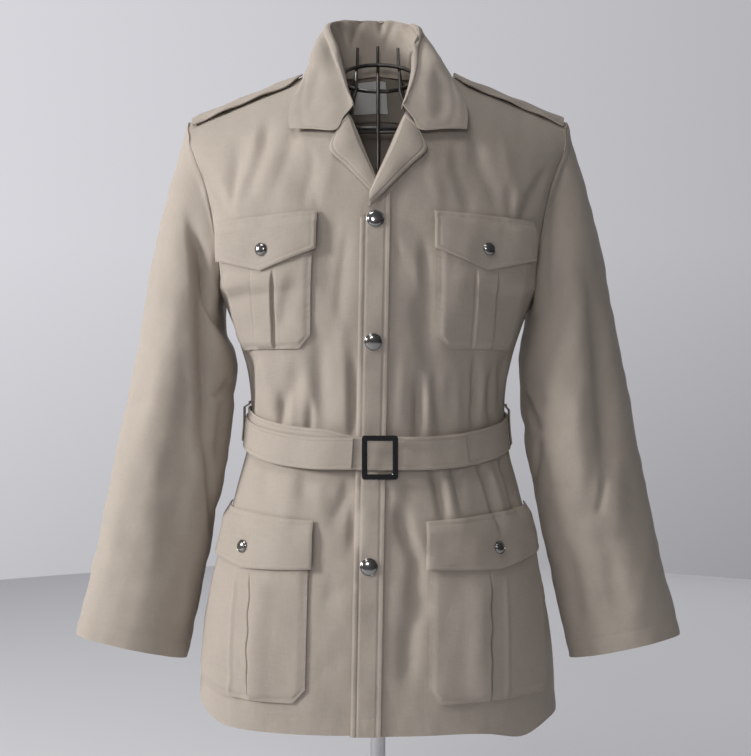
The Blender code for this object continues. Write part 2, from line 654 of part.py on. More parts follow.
def lift_clear(points, cloud, clearance):
    """Move points that are nearer to the cloth than the clearance straight out to it."""
    body, away = cloud
    flat = points.reshape(-1, 3).copy()
    for _ in range(2):
        nearest = np.array([((body - p) ** 2).sum(axis=1).argmin() for p in flat])
        height = np.sum((flat - body[nearest]) * away[nearest], axis=1)
        flat += away[nearest] * np.clip(clearance - height, 0, None)[:, None]
    return flat.reshape(points.shape)


def build_collar(cloth, cloud):
    """Stand up from inside the neck seam, over a rounded fold and down the fall to its edge."""
    heights = np.array([1.012, 1.028, 1.045, 1.065, FRONT_NECK])
    half_edge = front(1, 0.0, heights)
    neck = back(1, np.linspace(0.42, 0, 7), BACK_NECK)
    seam = np.concatenate([half_edge[:-1], neck])
    lengths = np.concatenate([[0], np.linalg.norm(np.diff(seam, axis=0), axis=1).cumsum()])
    at = np.linspace(0, 1, 12)
    seam = np.stack([np.interp(at, lengths / lengths[-1], seam[:, k]) for k in range(3)], axis=1)
    inward = unit(seam * [-1.0, -1.0, 0.0])
    foot = seam + inward * (0.0050 + 0.0022 * (1 - ease(at, 0.0, 0.3)))[:, None] - [0, 0, 0.001]
    foot += (1 - ease(at, 0.0, 0.25))[:, None] * [-0.0035, 0.0, 0.0020]
    value = {name: smooth(at, COLLAR["at"], COLLAR[name]) for name in COLLAR}
    fold, middle, edge = (np.stack([value[word + "_" + axis] for axis in "xyz"], axis=1)
                          for word in ("fold", "mid", "edge"))
    radius = 0.0045
    outward = unit(fold * [1.0, 1.0, 0.0])
    rows = [foot, foot * 0.5 + (fold - outward * radius) * 0.5, fold - outward * radius]
    rows += [fold + (outward * -math.cos(turn) + [0, 0, math.sin(turn)]) * radius
             for turn in np.radians([50, 90, 130])]
    start = fold + outward * radius
    share = np.linspace(0, 1, 5)
    fall = np.stack([(1 - v) ** 2 * start + 2 * v * (1 - v) * middle + v * v * edge for v in share])
    fall[1:] = lift_clear(fall[1:], cloud, 0.0085)
    half = np.concatenate([np.stack(rows), fall])
    other = half[:, -2::-1] * [-1.0, 1.0, 1.0]
    grid = np.concatenate([half, other], axis=1)
    away = unit(np.cross(np.gradient(grid, axis=1), np.gradient(grid, axis=0)))
    stand = grid[1]
    facing_in = np.sum(away[1] * (np.array([0, 0, 1.1]) - stand), axis=1).mean()
    away *= np.sign(facing_in)
    wall("collar", grid, grid - away * THIN_WALL, cloth)


def build_epaulettes(cloth, cloud):
    """Straps along the shoulder seam, pointed at the neck end, a little lifted in front."""
    for side in (-1, 1):
        along = stepped([0.03, 0.86, 1.0], [8, 2])[:, None]
        tip = np.array([0.236, 0.0, 1.019])
        neck = np.array([0.0945, 0.003, 1.0774])
        line = tip + (neck - tip) * along
        half_width = 0.019 * (1 - 0.75 * ease(along, 0.86, 1.0)) - 0.001 * along
        sideways = np.linspace(-1, 1, 5)[None, :]
        points = line[:, None, :] * np.ones((1, 5, 1))
        points[..., 1] += sideways * half_width - 0.003
        points[..., 2] += 0.003 - 0.35 * np.abs(sideways * half_width)
        points = lift_clear(points, cloud, 0.0040)
        lifted = 0.0015 * np.sin(math.pi * np.clip(along, 0, 1)) * np.clip(-sideways, 0, 1)
        points[..., 2] += lifted
        away = unit(np.cross(np.gradient(points, axis=1), np.gradient(points, axis=0)))
        away *= np.sign(away[..., 2:3].mean())
        points = points * [side, 1.0, 1.0]
        away = away * [side, 1.0, 1.0]
        wall("left_epaulette" if side > 0 else "right_epaulette", points, points - away * 0.0016, cloth)


def build_neck_inside(cloth, label_look):
    """Facing inside the back neck and the blank label sewn on it."""
    rows = np.linspace(1.045, 1.086, 4)[:, None]
    outer, inner = [], []
    for side in (-1, 1):
        across = np.linspace(0, 0.24, 7)[None, :]
        points, away = back(side, across, rows), back_normals(side, across, rows)
        surface = points - away * (WALL + 0.0028)
        outer.append(surface)
        inner.append(surface - away * 0.001)
    wall("neck_facing", np.concatenate([outer[0][:, :0:-1], outer[1]], axis=1),
         np.concatenate([inner[0][:, :0:-1], inner[1]], axis=1), cloth)
    rows = np.linspace(1.050, 1.088, 4)[:, None]
    places = np.linspace(0.15, 0, 4)
    sheets = []
    for side in (-1, 1):
        across = places[None, ::-1]
        points, away = back(side, across, rows), back_normals(side, across, rows)
        sheets.append((points - away * (WALL + 0.0028 + 0.001 + 0.0008), away))
    outer = np.concatenate([sheets[0][0][:, :0:-1], sheets[1][0]], axis=1)
    away = np.concatenate([sheets[0][1][:, :0:-1], sheets[1][1]], axis=1)
    wall("neck_label", outer, outer - away * 0.001, label_look)


def waist_loop(turn, height):
    """Point on the body's outer face at a turn of 0 to 4 quarters from the button line."""
    turn = np.mod(turn, 4.0)
    pieces = [front(1, np.clip(turn, 0, 1), height, centred=True),
              back(1, np.clip(2 - turn, 0, 1), height),
              back(-1, np.clip(turn - 2, 0, 1), height),
              front(-1, np.clip(4 - turn, 0, 1), height, centred=True)]
    choice = np.clip(turn.astype(int), 0, 3)
    return np.choose(choice[..., None], pieces)


def belt_band(turns, raised, lift, thick, width, ring):
    """Sections of a band round the waist: outer face downwards, then inner face upwards."""
    middle = BELT_HEIGHT_FRONT + (BELT_HEIGHT_BACK - BELT_HEIGHT_FRONT) * ease(
        1 - np.abs(np.mod(turns, 4) - 2) / 2, 0.1, 0.6) + raised
    levels = np.array([0.5, 0.0, -0.5]) * width
    heights = middle[:, None] + levels[None, :]
    grid = turns[:, None] + 0 * heights
    step = 0.02
    points = waist_loop(grid, heights)
    ahead = waist_loop(grid + step, heights) - waist_loop(grid - step, heights)
    away = unit(np.stack([-ahead[..., 1], ahead[..., 0], 0 * ahead[..., 0]], axis=-1)) * -1
    near = np.abs(np.mod(turns + 2, 4) - 2)
    over_placket = (LAY + THIN_WALL + 0.0006) * (1 - ease(near, 0.20, 0.34))
    base = (BELT_LAY + lift + over_placket)[:, None, None]
    return np.concatenate([points + away * (base + thick), (points + away * base)[:, ::-1]], axis=1)


def build_belt(cloth, metal):
    """Belt round the waist, its free end over it, the fold at the buckle and two loops."""
    turns = np.linspace(0, 4, 52, endpoint=False)
    raised = 0.009 * ease(turns, 2.4, 3.1) * (1 - ease(turns, 3.75, 3.98))
    solid("belt", belt_band(turns, raised, 0 * turns, BELT_WALL, BELT_WIDTH, True), cloth, ring=True)
    over = BELT_WALL + BELT_LAY
    turns = np.linspace(2.90, 3.93, 16)
    end = belt_band(turns, 0 * turns, over + 0 * turns, BELT_WALL, BELT_WIDTH - 0.002, False)
    solid("belt_free_end", end, cloth)
    turns = np.linspace(4.12, 4.42, 6)
    fold = belt_band(turns, 0 * turns, over + 0 * turns, THIN_WALL, BELT_WIDTH - 0.001, False)
    solid("belt_fold_back", fold, cloth)
    for side in (-1, 1):
        levels = np.array([-1.0, -0.72, -0.60, 0.0, 0.60, 0.72, 1.0]) * 0.032
        lifts = LAY + (2 * over + 0.0015) * (np.abs(levels) < 0.024)
        centre = 0.6395 + 0.004 * (side < 0)
        turn = 1.0 if side > 0 else 3.0
        sections = []
        for shift in (-0.03, 0.0, 0.03):
            grid = np.full(levels.shape, turn + shift)
            points = waist_loop(grid, centre + levels)
            away = np.array([side * 1.0, 0.0, 0.0])
            outer = points + away * (lifts[:, None] + 0.0024)
            inner = points + away * (lifts[:, None] + 0.0008)
            sections.append(np.concatenate([outer, inner[::-1]]))
        solid("left_belt_loop" if side > 0 else "right_belt_loop", np.stack(sections), cloth)
    build_buckle(metal, over)


def build_buckle(metal, over):
    """Flat frame with rounded bars lying on the belt in front."""
    centre = np.array([0.002, 0.0, 0.610])
    front_y = waist_loop(np.array([0.0]), np.array([centre[2] - 0.02]))[0, 1]
    depth = front_y - (LAY + LAY + THIN_WALL + over + BELT_WALL + 0.0016)
    half_w, half_h, bar, thick, rounding = 0.0205, 0.025, 0.0062, 0.0026, 0.0075
    corners = []
    for sx, sz, start in ((1, 1, 0), (-1, 1, 90), (-1, -1, 180), (1, -1, 270)):
        for angle in (0, 45, 90):
            turn = math.radians(start + angle)
            corners.append((sx * (half_w - rounding), sz * (half_h - rounding),
                            math.cos(turn), math.sin(turn)))
    corners = np.array(corners)
    outer = corners[:, :2] + corners[:, 2:] * rounding
    inner = corners[:, :2] + corners[:, 2:] * (rounding - bar)

    def at(flat, y):
        """Corner points at a depth."""
        return np.stack([centre[0] + flat[:, 0], np.full(len(flat), y), centre[2] + flat[:, 1]], 1)

    middle = (outer + inner) / 2
    sections = np.stack([at(outer, depth - 0.0005), at(outer, depth - thick * 0.6),
                         at(middle, depth - thick), at(inner, depth - thick * 0.6),
                         at(inner, depth - 0.0005), at(middle, depth)], axis=1)
    solid("belt_buckle", sections, metal, ring=True)


def build_front_buttons(find, buttons):
    """Domed buttons down the placket; one more place is under the buckle and stays empty."""
    for number, height in enumerate((0.879, 0.741, 0.487), start=1):
        place, direction = find(np.array([0.0]), np.array([height]))
        place = place[0] + direction[0] * (LAY + THIN_WALL + 0.0005)
        build_button("front_button_" + str(number), place, direction[0], 0.010, buttons)


def form_point(angle, height, inset=0.0):
    """Point of the wire form: an oval at each height, tilted towards the neck."""
    side = smooth(height, FORM["height"], FORM["side"]) - inset
    ahead = smooth(height, FORM["height"], FORM["front"]) - inset
    behind = smooth(height, FORM["height"], FORM["back"]) - inset
    depth = np.where(np.cos(angle) > 0, ahead, behind)
    y = -depth * np.cos(angle)
    tilt = smooth(height, FORM["height"], FORM["tilt"])
    return np.stack(np.broadcast_arrays(side * np.sin(angle), y, height + tilt * y), axis=-1)


def wire(name, points, radius, look, closed=False):
    """Round wire along points."""
    curve = bpy.data.curves.new(name, "CURVE")
    curve.dimensions = "3D"
    curve.bevel_depth = radius
    curve.bevel_resolution = 2
    curve.use_fill_caps = True
    spline = curve.splines.new("POLY")
    spline.points.add(len(points) - 1)
    spline.points.foreach_set("co", np.column_stack([points, np.ones(len(points))]).ravel())
    spline.use_cyclic_u = closed
    spline.use_smooth = True
    return add_to_part(bpy.data.objects.new(name, curve), look)


def build_form(metal, chrome):
    """Rings inside ribs of welded wire on four spokes, a hub, a pole and a turned base."""
    inset = WIRE_RADIUS + RING_RADIUS + SEAM_GAP
    angle = np.linspace(0, 2 * math.pi, RING_SIDES, endpoint=False)
    rings = (("neck_ring", 1.075), ("shoulder_ring", 1.010), ("chest_ring", 0.880),
             ("waist_ring", 0.620), ("hip_ring", 0.460))
    for name, height in rings:
        sloping = 0.0022 if name == "shoulder_ring" else 0.0
        loop = form_point(angle, np.full(angle.shape, height), inset + sloping)
        wire(name, loop, RING_RADIUS, metal, True)
    heights = np.array([0.450, 0.520, 0.620, 0.700, 0.800, 0.880, 0.945, 0.985, 1.010, 1.040, 1.075,
                        1.098])
    for name, degrees in (("front_rib_middle", 0), ("front_rib_left", 30), ("front_rib_right", 330),
                          ("back_rib_middle", 180), ("back_rib_left", 150),
                          ("back_rib_right", 210)):
        turn = np.full(heights.shape, math.radians(degrees))
        wire(name, form_point(turn, heights), WIRE_RADIUS, metal)
    for side in (-1, 1):
        low = np.array([0.450, 0.520, 0.620, 0.700, 0.800, 0.880])
        trunk = form_point(np.full(low.shape, math.pi / 2), low)
        under = WIRE_RADIUS + WALL + 0.0012
        tip = np.array([0.236, 0.0, 1.019]) - [0.0, 0.0, under * 1.08]
        neck = np.array(NECK_SIDE) - [0.0, 0.0, under * 1.08]
        run = np.array([0.16, 0.30, 0.50, 0.72, 0.94])[:, None]
        shoulder = tip + (neck - tip) * run
        bend = np.array([[0.176, 0.0, 0.935], [0.194, 0.0, 0.975], [0.204, 0.001, 1.004]])
        end = np.array([[0.056, 0.001, 1.0765]])
        path = np.concatenate([trunk, bend, shoulder, end]) * [side, 1.0, 1.0]
        wire("left_shoulder_bow" if side > 0 else "right_shoulder_bow", path, WIRE_RADIUS, metal)
    ring_height = 0.460
    reach = {"left": (1, 0), "right": (-1, 0), "front": (0, -1), "back": (0, 1)}
    hub_radius = 0.020
    for word, (sx, sy) in reach.items():
        edge = np.abs(form_point(np.array([math.atan2(sx, -sy)]), np.array([ring_height]), inset)[0])
        far = (edge[0] if sx else edge[1]) - RING_RADIUS - 0.0007
        near = hub_radius + SEAM_GAP
        ends = np.array([[sx * near, sy * near, ring_height], [sx * far, sy * far, ring_height]])
        wire(word + "_spoke", ends, RING_RADIUS, metal)
    turned("form_hub", [(0.0, 0.018), (0.85, 0.018), (1.0, 0.014), (1.0, -0.014), (0.85, -0.018),
                        (0.0, -0.018)], hub_radius, ring_height, chrome, 24)
    pole_foot = 0.0145
    pole_top = ring_height - 0.018 - SEAM_GAP
    turned("form_pole", [(0.0, pole_top), (1.0, pole_top), (1.0, pole_foot), (0.0, pole_foot)],
           POLE_RADIUS, 0.0, chrome, 20)
    turned("form_base", [(0.0, 0.0142), (0.12, 0.0142), (0.60, 0.0115), (0.96, 0.0072), (1.0, 0.004),
                         (1.0, 0.0), (0.0, 0.0)], BASE_RADIUS, 0.0, chrome, 36)


def turned(name, profile, radius, height, look, steps):
    """Turned solid round the vertical axis."""
    mesh = bpy.data.meshes.new(name)
    points = [(radius * r, 0.0, height + z) for r, z in profile]
    mesh.from_pydata(points, [(i, i + 1) for i in range(len(points) - 1)], [])
    item = add_to_part(bpy.data.objects.new(name, mesh), look)
    turn = item.modifiers.new("turned", "SCREW")
    turn.steps = turn.render_steps = steps
    turn.use_merge_vertices = True
    turn.merge_threshold = 0.00001
    return item


remove_everything()
bpy.context.scene.collection.children.link(bpy.data.collections.new(OBJECT_NAME))
cotton = material("beige_twill", (0.42, 0.35, 0.28), 0.9)
silver = material("silver_metal", (0.62, 0.60, 0.57), 0.3, 1.0)
gunmetal = material("gunmetal", (0.12, 0.12, 0.12), 0.35, 1.0)
dark_wire = material("dark_wire", (0.10, 0.10, 0.10), 0.4, 0.8)
bright_chrome = material("bright_chrome", (0.70, 0.70, 0.70), 0.12, 1.0)
white_label = material("white_label", (0.75, 0.74, 0.72), 0.8)

build_body(cotton)
build_sleeves(cotton)
shoulder_cloud = body_cloud()
finders = {1: front_finder(1), -1: front_finder(-1)}
build_placket(finders[1], cotton)
for wearer_side in (-1, 1):
    build_pockets(finders[wearer_side], wearer_side, cotton, silver)
build_lapels(cotton)
build_collar(cotton, shoulder_cloud)
build_epaulettes(cotton, shoulder_cloud)
build_neck_inside(cotton, white_label)
build_belt(cotton, gunmetal)
build_front_buttons(finders[1], silver)
build_form(dark_wire, bright_chrome)
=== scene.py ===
"""Looks of the safari jacket on its wire dress form.

The jacket's front faces -Y and the wearer's left is +X. Every cloth piece is a thin wall on its solid's
form, with its creases, stitching and weave.
"""
import math

import bmesh
import bpy
import numpy as np
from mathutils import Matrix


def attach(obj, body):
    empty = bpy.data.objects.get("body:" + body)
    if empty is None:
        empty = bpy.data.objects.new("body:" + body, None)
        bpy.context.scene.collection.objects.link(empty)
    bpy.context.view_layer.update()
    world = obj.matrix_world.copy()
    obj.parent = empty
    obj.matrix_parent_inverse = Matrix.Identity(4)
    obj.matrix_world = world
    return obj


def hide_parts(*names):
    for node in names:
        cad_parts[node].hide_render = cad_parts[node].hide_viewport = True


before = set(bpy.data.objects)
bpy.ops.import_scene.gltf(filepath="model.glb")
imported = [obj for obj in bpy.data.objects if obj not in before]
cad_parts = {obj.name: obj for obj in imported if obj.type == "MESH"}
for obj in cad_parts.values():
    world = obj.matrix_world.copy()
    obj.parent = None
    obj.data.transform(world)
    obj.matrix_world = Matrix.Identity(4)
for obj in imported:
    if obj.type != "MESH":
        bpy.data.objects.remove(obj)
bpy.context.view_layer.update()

# The camera stands level at the height of the belt, 1.33 m in front of the pole. A focal length of
# 1064 picture pixels on a picture 751 wide is 51 mm on a 36 mm sensor.
LENS, SENSOR, PICTURE, MIDDLE = 51.0, 36.0, 751, 378
CAMERA = (-0.003, -1.33, 0.70)
camera = bpy.data.objects.new("camera", bpy.data.cameras.new("camera"))
bpy.context.scene.collection.objects.link(camera)
camera.data.sensor_fit = "HORIZONTAL"
camera.data.sensor_width, camera.data.lens = SENSOR, LENS
camera.location = CAMERA
camera.rotation_euler = (math.pi / 2, 0.0, 0.0)
bpy.context.scene.camera = camera

# A pale floor, a soft window-like light from the left in front, and pale light all round.
bpy.ops.mesh.primitive_circle_add(vertices=160, radius=2.7, fill_type="NGON", location=(0, 0, -0.0005))
floor = bpy.context.object
floor.name = "floor"
floor_look = bpy.data.materials.new("pale_floor")
floor_look.use_nodes = True
floor_look.node_tree.nodes["Principled BSDF"].inputs["Base Color"].default_value = (0.68, 0.68, 0.70, 1)
floor_look.node_tree.nodes["Principled BSDF"].inputs["Roughness"].default_value = 0.9
floor.data.materials.append(floor_look)
world = bpy.context.scene.world or bpy.data.worlds.new("studio")
bpy.context.scene.world = world
world.use_nodes = True
sky = world.node_tree
way = sky.nodes.new("ShaderNodeTexCoord")
split = sky.nodes.new("ShaderNodeSeparateXYZ")
ramp = sky.nodes.new("ShaderNodeValToRGB")
sky.links.new(way.outputs["Generated"], split.inputs[0])
sky.links.new(split.outputs["Y"], ramp.inputs["Fac"])
ramp.color_ramp.elements[0].position, ramp.color_ramp.elements[0].color = 0.0, (0.13, 0.132, 0.137, 1)
ramp.color_ramp.elements[1].position, ramp.color_ramp.elements[1].color = 0.62, (0.53, 0.53, 0.56, 1)
sky.links.new(ramp.outputs["Color"], sky.nodes["Background"].inputs["Color"])
# The wall behind fades to the right and downwards: strength 0.97 - 0.6 x + 0.9 z, z at most 0.12.
level = sky.nodes.new("ShaderNodeMath")
level.operation, level.inputs[1].default_value = "MINIMUM", 0.12
sky.links.new(split.outputs["Z"], level.inputs[0])
fade = sky.nodes.new("ShaderNodeMath")
fade.operation, fade.inputs[1].default_value, fade.inputs[2].default_value = "MULTIPLY_ADD", 0.9, 0.97
sky.links.new(level.outputs[0], fade.inputs[0])
across = sky.nodes.new("ShaderNodeMath")
across.operation, across.inputs[1].default_value = "MULTIPLY_ADD", -0.60
sky.links.new(split.outputs["X"], across.inputs[0])
sky.links.new(fade.outputs[0], across.inputs[2])
sky.links.new(across.outputs[0], sky.nodes["Background"].inputs["Strength"])
bpy.context.scene.view_settings.view_transform = "Standard"
for name, place, size, power, colour in (
        ("window", (-2.6, -0.95, 1.55), 0.7, 65.0, (1.0, 0.995, 0.985)),
        ("high", (-0.9, -1.1, 2.9), 0.8, 15.0, (1.0, 0.995, 0.99)),
        ("front", (-0.35, -2.6, 1.45), 0.5, 9.0, (1.0, 0.995, 0.99)),
        ("behind", (0.8, 2.4, 1.8), 2.2, 14.0, (0.97, 0.98, 1.0))):
    light = bpy.data.objects.new(name, bpy.data.lights.new(name, "AREA"))
    bpy.context.scene.collection.objects.link(light)
    light.data.size, light.data.energy, light.data.color = size, power, colour
    light.location = place
    aim = np.array([0.0, 0.0, 0.75]) - place
    light.rotation_euler = (math.acos(-aim[2] / np.linalg.norm(aim)), 0.0,
                            math.atan2(aim[1], aim[0]) - math.pi / 2)


class Value:
    """A socket in a material: + - * / and ** with numbers or other values make Math nodes."""

    def __init__(self, tree, socket=None):
        self.tree, self.socket = tree, socket

    def node(self, kind, settings, inputs, out=0):
        """New node of a kind with settings by name and inputs by name or number."""
        made = self.tree.nodes.new("ShaderNode" + kind)
        for name, value in settings.items():
            setattr(made, name, value)
        for key, value in inputs.items():
            if isinstance(value, Value):
                self.tree.links.new(value.socket, made.inputs[key])
            else:
                made.inputs[key].default_value = value
        return Value(self.tree, made.outputs[out])

    def math(self, operation, other=0.0, swapped=False):
        """Math node of this value and another."""
        pair = (other, self) if swapped else (self, other)
        return self.node("Math", {"operation": operation}, {0: pair[0], 1: pair[1]})

    def __add__(self, other):
        return self.math("ADD", other)

    def __radd__(self, other):
        return self.math("ADD", other, True)

    def __sub__(self, other):
        return self.math("SUBTRACT", other)

    def __rsub__(self, other):
        return self.math("SUBTRACT", other, True)

    def __mul__(self, other):
        return self.math("MULTIPLY", other)

    def __rmul__(self, other):
        return self.math("MULTIPLY", other, True)

    def __truediv__(self, other):
        return self.math("DIVIDE", other)

    def __pow__(self, other):
        return self.math("POWER", other)

    def between(self, first, second):
        """Colour mixed from first at 0 to second at 1."""
        return self.node("Mix", {"data_type": "RGBA", "clamp_factor": True},
                         {0: self, 6: (*first, 1.0), 7: (*second, 1.0)}, out=2)


def new_look(name, roughness, metallic=0.0):
    """Principled material with its constants set, its first value and its shader."""
    look = bpy.data.materials.new(name)
    look.use_nodes = True
    shader = look.node_tree.nodes["Principled BSDF"]
    shader.inputs["Roughness"].default_value = roughness
    shader.inputs["Metallic"].default_value = metallic
    return look, Value(look.node_tree), shader


# Cotton twill in warm stone beige: fine diagonal ribs, uneven yarns, and a slightly paler wear.
def twill(name, light, dark, rib):
    """Twill: ribs sin(2 pi (u + 0.5 v) / rib) on the cloth's own metres, yarns as stretched noise."""
    look, start, shader = new_look(name, 0.86)
    shader.inputs["Sheen Weight"].default_value = 0.12
    shader.inputs["Sheen Roughness"].default_value = 0.5
    shader.inputs["Specular IOR Level"].default_value = 0.25
    cloth = start.node("UVMap", {"uv_map": "cloth"}, {})
    parts = cloth.node("SeparateXYZ", {}, {0: cloth})
    across, along = parts, Value(parts.tree, parts.socket.node.outputs[1])
    ribs = ((across + along * 0.5) * (2 * math.pi / rib)).math("SINE") * 0.5 + 0.5
    warp = cloth.node("Mapping", {}, {0: cloth, "Scale": (2200.0, 90.0, 1.0)})
    weft = cloth.node("Mapping", {}, {0: cloth, "Scale": (90.0, 2200.0, 1.0)})
    yarn = cloth.node("TexNoise", {}, {"Vector": warp, "Scale": 1.0, "Detail": 1.0})
    yarn = (yarn + cloth.node("TexNoise", {}, {"Vector": weft, "Scale": 1.0, "Detail": 1.0})) * 0.5
    place = cloth.node("TexCoord", {}, {}, out=3)
    cloud = cloth.node("TexNoise", {}, {"Vector": place, "Scale": 14.0, "Detail": 3.0})
    coarse = cloth.node("TexNoise", {}, {"Vector": cloth.node("Mapping", {}, {
        0: cloth, "Scale": (620.0, 60.0, 1.0)}), "Scale": 1.0, "Detail": 2.0})
    coarse = coarse + cloth.node("TexNoise", {}, {"Vector": cloth.node("Mapping", {}, {
        0: cloth, "Scale": (60.0, 620.0, 1.0)}), "Scale": 1.0, "Detail": 2.0})
    shade = cloud * 0.40 + coarse * 0.42 + yarn * 0.25 + ribs * 0.12 - 0.06
    cloth.tree.links.new(shade.between(dark, light).socket, shader.inputs["Base Color"])
    rough = cloud * 0.10 + 0.80
    cloth.tree.links.new(rough.socket, shader.inputs["Roughness"])
    crumple = cloth.node("TexNoise", {}, {"Vector": place, "Scale": 60.0, "Detail": 2.5})
    bump = cloth.node("Bump", {}, {"Strength": 0.35, "Distance": 0.0016, "Height": crumple})
    weave = cloth.node("Bump", {}, {"Strength": 0.35, "Distance": 0.0003,
                                    "Height": ribs * 0.6 + yarn * 0.7 + coarse * 0.8, "Normal": bump})
    cloth.tree.links.new(weave.socket, shader.inputs["Normal"])
    return look


cotton = twill("stone_cotton_twill", (0.455, 0.396, 0.340), (0.330, 0.283, 0.239), 0.0011)
thread = twill("stone_sewing_thread", (0.44, 0.385, 0.33), (0.34, 0.295, 0.25), 0.0008)


# The tools of the sewing: a closed wall from a grid of points, and rows of separate stitches.
def unit(vectors):
    """Vectors of length 1."""
    return vectors / np.maximum(np.linalg.norm(vectors, axis=-1, keepdims=True), 1e-12)


def facing(grid, outside, ring=False):
    """Grid normals d(column) x d(row), turned to the side that outside points to."""
    ahead, behind = np.roll(grid, -1, axis=1), np.roll(grid, 1, axis=1)
    columns = ahead - behind if ring else np.gradient(grid, axis=1)
    out = unit(np.cross(columns, np.gradient(grid, axis=0)))
    return out * np.sign(np.sum(out * outside, axis=-1).mean())


def finish_mesh(name, vertices, faces, look, lengths=None, sharp=50):
    """Mesh object on the root body with the cloth's own metres as its map."""
    mesh = bpy.data.meshes.new(name)
    mesh.from_pydata(vertices.tolist(), [], faces.tolist())
    if lengths is not None:
        corners = np.empty(len(mesh.loops), dtype=np.int64)
        mesh.loops.foreach_get("vertex_index", corners)
        layer = mesh.uv_layers.new(name="cloth")
        layer.data.foreach_set("uv", lengths[corners].ravel())
    shape = bmesh.new()
    shape.from_mesh(mesh)
    bmesh.ops.recalc_face_normals(shape, faces=shape.faces)
    shape.to_mesh(mesh)
    shape.free()
    mesh.shade_smooth()
    mesh.set_sharp_from_angle(angle=math.radians(sharp))
    mesh.materials.append(look)
    item = bpy.data.objects.new(name, mesh)
    bpy.context.scene.collection.objects.link(item)
    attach(item, "root")
    return item


def shell(name, outer, outside, thick, look=cotton, ring=False):
    """Closed wall between a grid and inner = outer - thick * normal, with a rim at open edges."""
    inner = outer - facing(outer, outside, ring) * thick
    rows, columns = outer.shape[:2]
    index = np.arange(rows * columns).reshape(rows, columns)
    if ring:
        index = np.concatenate([index, index[:, :1]], axis=1)
    quads = np.stack([index[:-1, :-1], index[:-1, 1:], index[1:, 1:], index[1:, :-1]], axis=-1)
    size = rows * columns
    edges = [index[0], index[-1]] if ring else [index[0], index[-1], index[:, 0], index[:, -1]]
    rims = [np.stack([edge[:-1], edge[1:], edge[1:] + size, edge[:-1] + size], axis=-1)
            for edge in edges]
    faces = np.concatenate([quads.reshape(-1, 4), quads[..., ::-1].reshape(-1, 4) + size] + rims)
    across = np.linalg.norm(np.diff(outer, axis=1), axis=2).mean(axis=0)
    along = np.linalg.norm(np.diff(outer, axis=0), axis=2).mean(axis=1)
    u = np.concatenate([[0.0], across.cumsum()])[None, :] + np.zeros((rows, 1))
    v = np.concatenate([[0.0], along.cumsum()])[:, None] + np.zeros((1, columns))
    lengths = np.stack([u.ravel(), v.ravel()], axis=1)
    vertices = np.concatenate([outer.reshape(-1, 3), inner.reshape(-1, 3)])
    return finish_mesh(name, vertices, faces, look, np.concatenate([lengths, lengths]))


SIDES = {-1: "right_", 1: "left_"}


def bell(off, wide, high=1.0):
    """Ridge high * exp(-(off / wide)^2) over a line, or the groove of a seam where it is taken away."""
    return high * np.exp(-(off / wide) ** 2)


def stitches(name, lines, pitch=0.0031, long=0.0022, wide=0.00034, high=0.00028):
    """Small spindles centre +- long/2 along, +- wide across and +- high up, one each pitch of a line."""
    vertices = []
    for points, out in lines:
        steps = np.linalg.norm(np.diff(points, axis=0), axis=1)
        run = np.concatenate([[0.0], steps.cumsum()])
        at = np.arange(pitch, run[-1] - pitch, pitch)
        centre = np.stack([np.interp(at, run, points[:, k]) for k in range(3)], axis=1)
        ahead = unit(np.stack([np.interp(at + 0.001, run, points[:, k])
                               - np.interp(at - 0.001, run, points[:, k]) for k in range(3)], axis=1))
        up = unit(np.stack([np.interp(at, run, out[:, k]) for k in range(3)], axis=1))
        over = np.cross(ahead, up)
        vertices.append(np.stack([
            centre - ahead * long / 2 - up * high * 0.6, centre + ahead * long / 2 - up * high * 0.6,
            centre + over * wide, centre - over * wide, centre + up * high, centre - up * high], 1))
    vertices = np.concatenate(vertices)
    one = np.array([[0, 2, 4], [2, 1, 4], [1, 3, 4], [3, 0, 4], [2, 0, 5], [1, 2, 5], [3, 1, 5], [0, 3, 5]])
    faces = (one[None] + 6 * np.arange(len(vertices))[:, None, None]).reshape(-1, 3)
    lengths = vertices.reshape(-1, 3)[:, [0, 2]]
    item = finish_mesh(name, vertices.reshape(-1, 3), faces, thread, lengths, sharp=180)
    return item


def nearest(values, wanted):
    """Index of the value next to the wanted one."""
    return int(np.abs(values - wanted).argmin())


def parallel(grid, outside, rows=(), columns=(), ring=False):
    """Lines along rows and columns of a grid, with the grid's normals, for stitches to follow."""
    out = facing(grid, outside, ring)
    return ([(grid[row], out[row]) for row in rows]
            + [(grid[:, column], out[:, column]) for column in columns])


# The body: two fronts and one back in twill, sewn at the sides and shoulders and hanging on the form.
# The belt draws them in at the waist, so they gather above and below it.
HEM = 0.300
HEM_SEAM = 0.020
UNDERARM = 0.800
BREAK = 0.889
FRONT_NECK = 1.085
BACK_NECK = 1.097
NECK_SIDE = (0.076, 0.004, 1.085)
SHOULDER_TIP = (0.236, 0.0, 1.019)
WALL = 0.0018
THIN_WALL = 0.0012
SEAM_GAP = 0.0003
LAY = 0.0006
POCKET_LAY = 0.0015
BELT_LAY = 0.0010
LAP = 0.0175


def table(names, rows):
    """Columns by name from rows that read like a printed table."""
    return {name: np.array(column) for name, column in zip(names, zip(*rows))}


BODY = table(("height", "side", "front", "back", "square"), (
    (0.300, 0.219, 0.145, 0.150, 2.6),
    (0.385, 0.213, 0.140, 0.145, 2.5),
    (0.485, 0.192, 0.131, 0.135, 2.4),
    (0.560, 0.176, 0.122, 0.124, 2.3),
    (0.625, 0.160, 0.113, 0.112, 2.2),
    (0.680, 0.159, 0.117, 0.112, 2.2),
    (0.740, 0.170, 0.127, 0.117, 2.3),
    (0.800, 0.193, 0.134, 0.122, 2.3)))

